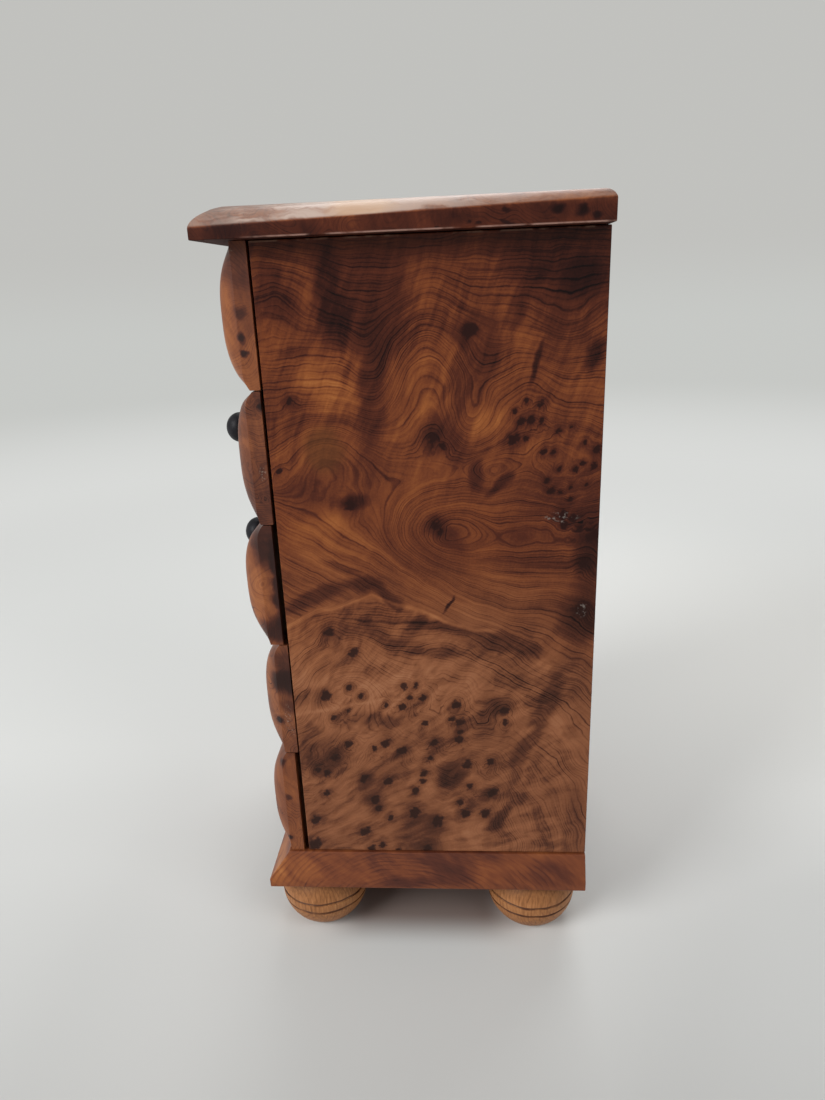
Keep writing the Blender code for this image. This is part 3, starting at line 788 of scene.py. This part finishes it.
def panel_finish():
    """The burl of the side panels, with the photographed side's own figure."""
    material, place = new_finish("burl_panel")
    _, y, z = parted(place)
    along = (y - CASE_LOW.y) / PANEL_HEIGHT
    up = (z - CASE_LOW.z) / PANEL_HEIGHT
    flat = joined(along, up, 0)
    wavy = warped(warped(flat, 8, 0.028), 34, 0.0055)
    ragged = warped(warped(flat, 14, 0.026), 55, 0.009)
    wavy_along, wavy_up, _ = parted(wavy)
    eye_ratio = nearest_eye(warped(warped(flat, 70, 0.008), 230, 0.0035), PANEL_EYES)

    # The height whose contours are the growth lines
    rise = wavy_up + 0.55 * wavy_along * fade(wavy_up, 0.70, 0.56)
    fan = distance(wavy, (*FAN_CENTRE, 0))
    over_seam = wavy_up - curve(along / PANEL_DEPTH, SEAM)
    seam_reach = 0.006 + 0.054 * fade(along, 0.24, 0.38)
    below = fade(over_seam, seam_reach, seam_reach * -1)
    field = rise + below * (fan + FAN_LIFT + 0.055 * swing(flat, 9, 2) - rise)
    for *swirl, lift in PANEL_SWIRLS:
        field = field + fade(panel_cloud(wavy, *swirl), 0, 1) * lift
    field = field + 0.009 * noise(flat, 26, 2) - (0.012 + 0.014 * below) * fade(eye_ratio, 3.6, 0.4)
    on_seam = fade(over_seam.math("ABSOLUTE", over_seam), 0.009, 0.004) * fade(along, 0.34, 0.28)
    clear = (1 - below * fade(fan, 0.24, 0.10)) * (1 - on_seam)
    coarse = growth_lines(field, COARSE_COUNT, 0.20) * fade(noise(flat, 10, 2), 0.30, 0.54) * clear
    fine = growth_lines(field, FINE_COUNT, 0.36) * fade(noise(flat, 15, 2), 0.32, 0.58) * clear

    # Tone: an even ground, grain in bands along the lines, and streaks across them
    tone = 0.470 + 0.155 * fade(up, 0.60, 0.30) + 0.55 * swing(flat, 5.5, 4)
    crossing = below * fade(along, 0.49, 0.43)
    sweeping = fade(up, 0.64, 0.58) * (1 - below)
    banded = swing(joined(field * 46, along * 5, up * 5), 1, 3)
    tone = tone + (0.38 + 0.26 * fade(along, 0.33, 0.42) * below + 0.24 * sweeping) * banded
    grained = swing(joined(field * 150, along * 12, up * 12), 1, 3)
    tone = tone + (0.34 - 0.26 * below) * grained
    stroke_up = wavy_up - STROKE_CENTRE[1]
    angle = stroke_up.math("ARCTAN2", stroke_up, wavy_along - STROKE_CENTRE[0])
    reach = distance(wavy, (*STROKE_CENTRE, 0))
    rays = fade(noise(joined(angle * 46, reach * 15, 0), 1, 4, 0.6), 0.30, 0.70)
    streaks = noise(stretched(turned_place(wavy, (0, 0, STREAK_LEAN)), (80, 12, 1)), 1, 3)
    strength = 0.10 + 0.40 * fade(up, 0.58, 0.76) + 0.13 * crossing
    tone = tone + strength * (streaks + crossing * (rays - streaks) - 0.5)
    smudges = fade(noise(joined(angle * 24, reach * 19, 0), 1.0, 2), 0.50, 0.64) * crossing
    tone = tone * (1 - 0.24 * smudges)

    # Then clouds, pale crests, growth lines, and eyes with a halo about a dark pith
    for *blot, lighter in PANEL_CLOUDS:
        tone = tone * (fade(panel_cloud(ragged, *blot), 0, 0.7) * (lighter * 1.25) + 1)
    for ridge, end in RIDGE_ENDS:
        over = wavy_up - curve(along / PANEL_DEPTH, ridge)
        crest = fade(over.math("ABSOLUTE", over), 0.006, 0.0) * fade(along, end, end - 0.02)
        tone = tone + crest * (0.12 + 0.12 * fade(noise(flat, 22, 2), 0.4, 0.6))
    outer = below * fade(fan, 0.24, 0.36)
    tone = tone - (0.20 - 0.05 * below + 0.17 * outer) * coarse
    tone = tone - (0.15 + 0.05 * below + 0.05 * outer) * fine
    tone = tone + 0.14 * swing(flat, 300, 2)
    # Painted shade: darker along the top, under the top board
    tone = tone * (1 - 0.18 * fade(up, 0.90, 1.0))
    pith = fade(eye_ratio + 1.6 * swing(flat, 130, 3), 1.12, 0.58)
    tone = tone * (1 - 0.27 * fade(eye_ratio, 2.7, 0.9))
    tone = tone + pith * (0.09 - tone) * (0.84 + 0.08 * fade(up, 0.5, 0.6))

    # Colour: redder high up, with a pale broken line along the top edge, glue squeezed out and a painted
    # highlight
    colour = burl_colour(tone, fade(up + 0.22 * swing(flat, 4), 0.30, 0.62))
    green = panel_cloud(ragged, *GREEN_CLOUD)
    colour = mixed(colour, GREENISH, 0.45 * fade(green, 0, 0.6))
    worn = combined("MAXIMUM", [fade(panel_cloud(flat, *mark), 0.1, 0.6) for mark in PANEL_WEAR])
    colour = mixed(colour, WHITISH, fade(noise(flat, 150, 3), 0.54, 0.64) * worn * 0.7)
    # Glue squeezed out along the top edge, and a painted highlight there
    glue = fade(z, CASE_HIGH.z - 0.0009, CASE_HIGH.z - 0.0004)
    glue = glue * fade(noise(place, 170, 3), 0.42, 0.58)
    colour = mixed(colour, GLUE_AND_HIGHLIGHT, glue * 0.4)
    roughness = 0.17 + 0.08 * noise(flat, 14, 3) + 0.15 * pith
    relief = noise(flat, 320, 2) * 0.16 - coarse * 0.16 - fade(eye_ratio, 1.7, 0.3)
    return finish_surface(material, colour, roughness, relief, 0.0001, gloss=0.13)


# Blots on the other boards, placed on the right side that the photograph shows. Each is
# a place and three radii in millimetres, a lean in degrees and how much lighter it is.
TOP_BLOTS = (
    ((79, 9, 303.5), (30, 34, 6), 0, 0.75),
    ((79, -35, 302), (30, 16, 5), 0, 0.25),
    ((79, 62, 303), (30, 22, 6), 0, 0.28),
    ((81, 16, 296), (20, 26, 3), 0, 0.10),
    ((81, -30, 295), (20, 30, 4), 0, -0.08),
    ((81, -48, 295.5), (20, 12, 4), 0, -0.30),
    ((81, -19, 296), (20, 6, 4), 0, -0.30),
    ((81, 26, 296.5), (20, 11, 4), 0, -0.30),
    ((81, 75, 298), (20, 6, 5), 0, 0.35),
    ((81, 55, 296.5), (20, 30, 5), 0, -0.22),
    ((81, 22.1, 293.9), (8, 1.6, 0.9), 0, -0.62),
    ((81, 31.6, 295), (8, 1.4, 0.9), 0, -0.62),
    ((81, 35.4, 294.2), (8, 1.8, 0.9), 0, -0.62),
    ((81, 45.1, 298.4), (8, 1.8, 1.2), 0, -0.66),
    ((81, 45, 294.5), (8, 3, 1.1), 0, -0.62),
    ((81, 59.4, 298.3), (8, 3.6, 2.2), 0, -0.85),
    ((81, 67, 296.3), (8, 2.4, 3.2), -12, -0.85),
    ((81, 71.7, 295), (8, 2.4, 1.6), 0, -0.80),
)

# How bright and how red each front is, its blots, and its worn spots: a place, three radii
FRONT_LOOKS = {
    1: (0.60, 0.75, (
        ((72.5, -46.3, 270.9), (8, 2.8, 3), 0, -0.55),
        ((72.5, -46.8, 262.9), (8, 2.2, 2.6), 0, -0.80),
        ((72.5, -47.1, 257.2), (8, 2.2, 2.4), 0, -0.80),
        ((72.5, -45, 269), (30, 6, 16), 0, -0.14),
        ((72.5, -48, 286), (60, 10, 13), 0, -0.32),
        ((60, -54, 270), (60, 6, 24), 0, 0.22),
        ((72.5, -45, 252), (30, 8, 9), 0, -0.12),
    ), (
        ((72.5, -49, 290), (4, 3, 2.2)),
    )),
    2: (0.43, 0.60, (
        ((72.5, -45, 206), (60, 13, 19), -20, -0.24),
        ((72.5, -45, 235), (60, 11, 12), 0, 0.06),
        ((72.5, -50, 223), (60, 7, 3.5), -25, 0.18),
    ), (
        ((72.5, -44.5, 213.3), (4, 2.2, 4)),
    )),
    3: (0.57, 0.70, (
        ((72.5, -46, 187.5), (50, 10, 15), -8, -0.62),
        ((72.5, -42.8, 170), (30, 3.6, 28), 0, -0.72),
        ((72.5, -45, 149.5), (50, 11, 9), 0, -0.72),
        ((72.5, -53, 168), (80, 7.5, 19), 0, 0.50),
    ), ()),
    4: (0.53, 0.45, (
        ((72.5, -44, 127), (30, 9, 8.5), 0, -0.80),
        ((72.5, -44, 135), (30, 8, 5), 0, -0.35),
        ((72.5, -44, 116), (30, 5, 6), 15, -0.40),
        ((60, -52, 120), (80, 6, 22), 0, 0.30),
        ((72.5, -45, 106), (30, 9, 12), 0, 0.35),
    ), (
        ((72.5, -44.5, 110), (4, 2.2, 8.5)),
        ((72.5, -43.5, 104), (4, 2.6, 3)),
    )),
    5: (0.62, 0.75, (
        ((72.5, -48.5, 88.5), (10, 2.6, 2.4), 0, -0.65),
        ((72.5, -49, 71.9), (10, 2.2, 2.2), 0, -0.55),
        ((72.5, -48, 93), (30, 8, 5), 0, -0.25),
        ((72.5, -46, 62), (30, 8, 12), 0, -0.10),
    ), ()),
}
BASE_BLOTS = (
    ((76.5, -40, 37.5), (20, 12, 10), 0, 0.14),
    ((76.5, 24, 42), (20, 26, 8), 0, -0.36),
    ((76.5, 23, 34.5), (20, 14, 7), 0, -0.34),
    ((76.5, 2, 31.2), (20, 20, 3.8), 0, -0.34),
    ((76.5, 34, 40), (20, 11, 7), -25, 0.26),
    ((76.5, 64, 35), (20, 15, 10), 0, -0.28),
    # The last blot is painted light on the front corner facet
    ((72, -59, 38.5), (30, 9, 12), 0, 0.70),
)

# What growth rings bend about: on the burl boards, the base, the box wood and the feet
RING_HEART = (0.12, 0.0, 0.10)
ARCH_HEART = (0, 0.0010, 0.0235)
BOX_HEART = (0.02, 0, -0.20)
FOOT_HEART = (0.02, 0.01, 0)

# Ways of the burl boards' fibres and of the base board's streaks
FIBRE_LEAN = (math.radians(12), math.radians(-18), 0)
STREAK_TURN = (math.radians(-35), 0, 0)

# Burl boards: growth lines to one unit of their height, and cells to a metre for the eyes
BURL_COUNT = 60
TOP_COUNT = 55
CELL_SCALE = 150.0

# Zones of the top board, each fading between two places: the red wood, the front and the
# back end of the nose's painted highlight, its strips along the sides and the front, and
# the bare rim with its painted highlight.
# One blot is tan.
TOP_RED_Z = (0.302, 0.299)
HIGHLIGHT_START_Y = (-0.049, -0.038)
HIGHLIGHT_END_Y = (-0.02, 0.075)
NOSE_STRIP_SIDE = (TOP_HIGH.x - 0.016, TOP_HIGH.x - 0.008)
NOSE_STRIP_FRONT = (TOP_LOW.y + 0.018, TOP_LOW.y + 0.010)
TAN_BLOT = ((78, -2.6, 302), (20, 13.5, 8))
RIM_WEAR_AND_HIGHLIGHT_Y = (-0.045, -0.030)


def blotted(tone, place, blots):
    """A tone made lighter or darker by blots."""
    for centre, reach, lean, lighter in blots:
        tone = tone * (fade(board_cloud(place, centre, reach, lean), 0, 0.7) * lighter + 1)
    return tone


def burl_ground(place, size, line_count):
    """Tone, eyes and relief of burl wood: rings about a far heart, swirled by noise."""
    soft = warped(warped(place, 22, 0.016), 110, 0.0025)
    field = 7 * distance(soft, RING_HEART) + 1.3 * noise(soft, size, 2, 0.45)
    cells = warped(place, 300, 0.0022)
    eyes, chosen = [
        cells.node("TexVoronoi", {"Vector": cells, "Scale": CELL_SCALE}, output=output)
        for output in (0, 1)
    ]
    gathered = fade(parted(chosen)[0], 0.62, 0.68) * fade(noise(place, 26, 2), 0.52, 0.60)
    pith = fade(eyes, 0.30, 0.14) * gathered
    field = field - 0.10 * fade(eyes, 0.60, 0.10) * gathered
    lines = growth_lines(field, line_count, 0.26) * fade(noise(place, 42, 2), 0.34, 0.58)
    fine = growth_lines(field, line_count * 2.4, 0.36) * fade(noise(place, 55, 2), 0.34, 0.58)
    leaning = turned_place(soft, FIBRE_LEAN)
    streaks = swing(stretched(leaning, (130, 130, 20)), 1, 3)
    fibres = swing(stretched(leaning, (900, 900, 45)), 1, 3)
    tone = 0.95 * swing(soft, size * 0.7, 3) + 0.34 * swing(joined(field * 16, 0, 0), 1, 3)
    tone = tone + 0.50 * streaks + 0.26 * fibres - 0.24 * lines - 0.15 * fine
    tone = tone + 0.10 * swing(place, 1100, 2) - 0.10 * fade(eyes, 0.55, 0.20) * gathered
    return tone, pith, noise(place, 1300, 2) * 0.4 - lines * 0.4 - pith


def burl_finish(name, size, brightness, redness, blots=(), wear=()):
    """Burl wood with its own swirls, blots and worn spots."""
    material, place = new_finish(name)
    ragged = warped(warped(place, 60, 0.008), 240, 0.004)
    ground, pith, relief = burl_ground(place, size, BURL_COUNT)
    tone = blotted(ground + brightness, ragged, blots)
    colour = burl_colour(tone * (1 - 0.85 * pith), redness)
    for centre, reach in wear:
        spot = fade(board_cloud(place, centre, reach), 0.05, 0.6)
        flecks = fade(noise(place, 1300, 3), 0.53, 0.66) * spot
        colour = mixed(colour, WORN, flecks * 0.6)
    roughness = 0.34 + 0.16 * noise(place, 60, 3)
    return finish_surface(material, colour, roughness, relief, 0.00004, gloss=0.25)


def top_finish():
    """Dark burl with paler zones on the nose, one tan and the rest a painted highlight; painted shade
    makes its upright edge darkest.
    """
    material, place = new_finish("burl_top")
    x, y, z = parted(place)
    ragged = warped(warped(place, 60, 0.008), 240, 0.003)
    ground, pith, relief = burl_ground(place, 24, TOP_COUNT)
    tone = blotted(ground + 0.50 + 0.50 * swing(ragged, 75, 3), ragged, TOP_BLOTS)
    depth_share = (y - TOP_LOW.y) / (TOP_HIGH.y - TOP_LOW.y)
    edge_height = TOP_LOW.z + TOP_EDGE_FRONT + depth_share * (TOP_EDGE_BACK - TOP_EDGE_FRONT)
    over_edge = z - edge_height
    # Painted shade darkens the upright edge below the nose
    tone = tone * (1 - 0.40 * fade(over_edge, 0.0003, -0.0003)) * (1 - 0.7 * pith)
    colour = burl_colour(tone, fade(z, *TOP_RED_Z) * 0.8 + 0.2)

    # The nose has a painted highlight in streaks, and is tan in one place
    above_edge = fade(over_edge, 0.0, 0.0009)
    streaky = noise(stretched(ragged, (60, 40, 320)), 1, 3)
    across = x.math("ABSOLUTE", x)
    strips = (fade(y, *NOSE_STRIP_FRONT), fade(across, *NOSE_STRIP_SIDE))
    nose = combined("MAXIMUM", strips) * above_edge
    # A painted highlight on the nose
    pale = (0.10 * above_edge + 0.90 * nose) * (0.42 + 0.58 * fade(y, *HIGHLIGHT_START_Y))
    pale = pale * (1 - 0.80 * fade(y, *HIGHLIGHT_END_Y))
    colour = mixed(colour, NOSE_HIGHLIGHT_COLOUR, pale * (0.30 + 0.70 * fade(streaky, 0.36, 0.60)))
    tan = fade(board_cloud(ragged, *TAN_BLOT), 0.0, 0.45)
    colour = mixed(colour, TAN_NOSE, tan * above_edge * 0.8)

    # The lower rim is bare in patches, and paler there with a painted highlight
    rim = fade(across, TOP_HIGH.x - 0.0012, TOP_HIGH.x - 0.0005)
    rim = rim * fade(z, TOP_LOW.z + 0.0007, TOP_LOW.z + 0.0003) * fade(noise(place, 90, 3), 0.34, 0.52)
    colour = mixed(colour, RIM_WEAR_AND_HIGHLIGHT, rim * fade(y, *RIM_WEAR_AND_HIGHLIGHT_Y) * 0.8)
    roughness = 0.30 + 0.14 * noise(place, 60, 3) + 0.40 * fade(z, TOP_LOW.z + 0.0003, TOP_LOW.z)
    coat = nose * (0.34 - 0.30 * depth_share)
    return finish_surface(material, colour, roughness, relief, 0.00004, gloss=0.12, coat=coat)


def plinth_finish():
    """Straight grained wood that shows arched growth lines along the base."""
    material, place = new_finish("plinth_wood")
    wavy = warped(warped(place, 20, 0.009), 150, 0.0012)
    arches = distance(stretched(wavy, (0.08, 0.45, 1)), ARCH_HEART)
    lines = growth_lines(arches + 0.005 * noise(wavy, 30, 2), 800) * fade(noise(place, 38, 2), 0.36, 0.58)
    fibres = noise(joined(arches * 1500, parted(wavy)[1] * 160, 0), 1, 3)
    streaks = swing(stretched(turned_place(wavy, STREAK_TURN), (60, 60, 260)), 1, 3)
    tone = 0.54 + 0.60 * swing(wavy, 34, 3) + 0.30 * (fibres - 0.5) - 0.22 * lines + 0.45 * streaks
    colour = coloured(blotted(tone, wavy, BASE_BLOTS), RED_TONES)
    roughness = 0.36 + 0.18 * fibres
    return finish_surface(material, colour, roughness, fibres * 0.6 - lines * 0.4, 0.00005, gloss=0.3)


def box_finish():
    """Pale plain wood for the drawer boxes and shelves: rings about an axis, fibres along it."""
    material, place = new_finish("box_wood")
    lying = turned_place(warped(place, 14, 0.010), (math.radians(90), 0, 0), BOX_HEART)
    across_x, across_y, lengthways = parted(lying)
    lines = growth_lines(distance(joined(across_x, across_y, 0), (0, 0, 0)), 330)
    fibres = noise(joined(across_x * 900, across_y * 900, lengthways * 27), 1, 3)
    tone = 0.62 + 0.5 * swing(place, 18, 3) - 0.26 * lines + 0.40 * (fibres - 0.5)
    colour = coloured(tone, BOX_TONES)
    roughness = 0.46 + 0.18 * fibres
    return finish_surface(material, colour, roughness, fibres * 0.7 - lines * 0.3, 0.00008, gloss=0.35)


def foot_finish():
    """Golden turned wood with upright grain and two grooves burnt dark, and painted shade under the base
    and near the floor.
    """
    material, place = new_finish("foot_wood")
    x, y, z = parted(warped(place, 60, 0.003))
    lines = growth_lines(distance(joined(x, y, 0), FOOT_HEART) + 0.002 * noise(place, 60, 2), 700)
    fibres = noise(joined(x * 1300, y * 1300, z * 90), 1, 3)
    tone = 0.56 + 0.40 * swing(place, 50, 2) - 0.24 * lines + 0.90 * (fibres - 0.5)
    # Painted shade: darker at the top, under the base, and at the bottom, near the floor
    tone = tone * (1 - 0.50 * fade(z, BASE_LOW.z * 0.55, BASE_LOW.z * 0.98))
    tone = tone * (1 - 0.22 * fade(z, BASE_LOW.z * 0.30, 0.0))
    bands = []
    for share in FOOT_GROOVE_SHARES:
        level = z - BASE_LOW.z * share
        off = level.math("ABSOLUTE", level)
        bands.append(fade(off, FOOT_GROOVE_WIDTH * 0.75, FOOT_GROOVE_WIDTH * 0.3))
    uneven = 0.60 + 0.35 * fade(noise(place, 130, 2), 0.30, 0.55)
    colour = mixed(coloured(tone, FOOT_TONES), BURNT, combined("MAXIMUM", bands) * uneven)
    roughness = 0.42 + 0.2 * fibres
    return finish_surface(material, colour, roughness, fibres * 0.6 - lines * 0.3, 0.00006, gloss=0.3)


def knob_finish():
    """Black satin lacquer, a little uneven."""
    material, place = new_finish("black_wood")
    haze = noise(place, 260, 3)
    colour = coloured(haze, ((0.3, (0.006, 0.006, 0.008)), (0.7, (0.016, 0.015, 0.019))))
    roughness = 0.38 + 0.22 * noise(place, 700, 2)
    return finish_surface(material, colour, roughness, noise(place, 1500, 2), 0.00003, gloss=0.14)


# Pieces

def build_pieces():
    """Every piece of the chest, on the body that carries it."""
    panel, top, plinth, box = panel_finish(), top_finish(), plinth_finish(), box_finish()
    back = burl_finish("burl_back", 16, 0.56, 0.6)
    feet, black = foot_finish(), knob_finish()
    for name in ("side_panel_left", "side_panel_right"):
        add_piece("burl_" + name, eased_board(name), "carcass", panel, [name])
    add_piece("burl_top_board", top_board_shape(), "carcass", top, ["top_board"])
    add_piece("burl_back_panel", eased_board("back_panel"), "carcass", back, ["back_panel"])
    base = eased_board("base_board")
    add_piece("bevelled_base_board", base, "carcass", plinth, ["base_board"])
    for number in range(1, 5):
        name = f"shelf_{number}"
        add_piece("eased_" + name, eased_board(name), "carcass", box, [name])
    for name in ("foot_front_left", "foot_front_right", "foot_back_left", "foot_back_right"):
        add_piece("turned_" + name, foot_shape(name), "carcass", feet, [name])
    for number, looks in FRONT_LOOKS.items():
        drawer = f"drawer_{number}"
        front = burl_finish(f"burl_front_{number}", 17 + 2 * number, *looks)
        pillow = front_shape(number)
        add_piece(f"pillow_front_{number}", pillow, drawer, front, [drawer + "_front"])
        for board in ("side_left", "side_right", "bottom", "back"):
            name = f"{drawer}_{board}"
            add_piece("eased_" + name, eased_board(name), drawer, box, [name])
        knob = knob_shape(number)
        add_piece(f"turned_knob_{number}", knob, drawer, black, [drawer + "_knob"])


# Stage

def build_stage():
    """A pale floor, with painted light and shade about the chest, that fades into an equally pale
    backdrop.
    """
    shape = bmesh.new()
    bmesh.ops.create_circle(shape, cap_ends=True, radius=FLOOR_RADIUS, segments=FLOOR_STEPS)
    material, place = new_finish("floor_paper")
    nodes, links = material.node_tree.nodes, material.node_tree.links
    shader = nodes["Principled BSDF"]
    out = distance(place, (0, 0, 0))
    x, y, _ = parted(place)
    # Painted light: a brighter zone of the floor
    bright = fade(x, *PAINTED_LIGHT_START_X) * fade(x, *PAINTED_LIGHT_END_X) * fade(y, *PAINTED_LIGHT_Y)
    tint = mixed(FLOOR_COLOUR, FLOOR_PAINTED_LIGHT_COLOUR, bright)
    # Painted shade towards the camera, in two corners and in a strip in front
    tint = mixed(tint, FLOOR_NEAR_SHADE_COLOUR, fade(x, *NEAR_SHADE_X))
    right_corner = fade(x, *RIGHT_CORNER_X) * fade(y + RIGHT_CORNER_SLOPE * x, *RIGHT_CORNER_Y)
    left_corner = fade(x, *LEFT_CORNER_X) * fade(y, *LEFT_CORNER_Y)
    darker = RIGHT_CORNER_SHADE * right_corner + LEFT_CORNER_SHADE * left_corner
    darker = darker + FRONT_STRIP_SHADE * fade(x, *FRONT_STRIP_X)
    tint = mixed(tint, (0, 0, 0, 1), darker)
    # A painted shadow under the case
    beside, aside = [value.math("ABSOLUTE", value) for value in (x, y - UNDER_CASE_MIDDLE_Y)]
    under_case_shadow = fade(beside, *UNDER_CASE_X) * fade(aside, *UNDER_CASE_Y)
    tint = mixed(tint, UNDER_CASE_SHADOW_COLOUR, under_case_shadow * UNDER_CASE_SHADE)
    links.new(tint.output, shader.inputs["Base Color"])
    shader.inputs["Roughness"].default_value = FLOOR_ROUGHNESS
    paper = Socket(material.node_tree, shader.outputs[0])
    horizon = mixed(MIDDLE_FLOOR_COLOUR, FAR_FLOOR_COLOUR, fade(out, *FAR_FLOOR_FADE))
    glow = place.node("Emission", {"Color": horizon, "Strength": 1.0})
    blend = place.node("MixShader", {0: fade(out, *FLOOR_FADE), 1: paper, 2: glow})
    links.new(blend.output, nodes["Material Output"].inputs["Surface"])
    floor = add_mesh("floor", shape, material)


def build_world():
    """The backdrop as seen or mirrored, and a weaker light from all round."""
    world = bpy.data.worlds.new("studio")
    world.use_nodes = True
    bpy.context.scene.world = world
    nodes, links = world.node_tree.nodes, world.node_tree.links
    background = nodes["Background"]
    path = nodes.new("ShaderNodeLightPath")
    rays = ("Is Transmission Ray", "Is Glossy Ray", "Is Camera Ray")
    seen = combined("MAXIMUM", [Socket(world.node_tree, path.outputs[name]) for name in rays])
    direction = Socket(world.node_tree, nodes.new("ShaderNodeTexCoord").outputs["Generated"])
    height = parted(direction)[2]
    sky = mixed(FAR_FLOOR_COLOUR, BACKDROP_COLOUR, fade(height, *BACKDROP_FADE))
    links.new(sky.output, background.inputs["Color"])
    share = ROOM_LIGHT / BACKDROP_COLOUR[1]
    strength = seen * (1 - share) + share
    links.new(strength.output, background.inputs["Strength"])


def build_lamps():
    """Large soft lamps that all face the middle of the chest."""
    middle = (packed_low + packed_high) / 2
    for name, (place, size, power) in LAMPS.items():
        lamp = bpy.data.lights.new(name, "AREA")
        lamp.shape = "DISK"
        lamp.size = size
        lamp.energy = power
        holder = add_object(name, lamp)
        holder.location = place
        holder.rotation_euler = (middle - Vector(place)).to_track_quat("-Z", "Y").to_euler()


def build_camera():
    """The camera that took the photo, as fitted."""
    camera = bpy.data.cameras.new("camera")
    camera.sensor_width = SENSOR
    camera.lens = FOCAL_PIXELS * SENSOR / IMAGE_HEIGHT
    camera.clip_start = NEAREST_SEEN
    holder = add_object("camera", camera)
    turn = (
        Matrix.Rotation(CAMERA_HEADING, 4, "Z")
        @ Matrix.Rotation(math.pi / 2 - CAMERA_PITCH, 4, "X")
        @ Matrix.Rotation(CAMERA_ROLL, 4, "Z")
    )
    holder.matrix_world = Matrix.Translation(CAMERA_PLACE) @ turn
    bpy.context.scene.camera = holder


build_pieces()
build_stage()
build_world()
build_lamps()
build_camera()
bpy.context.scene.view_settings.view_transform = "Standard"
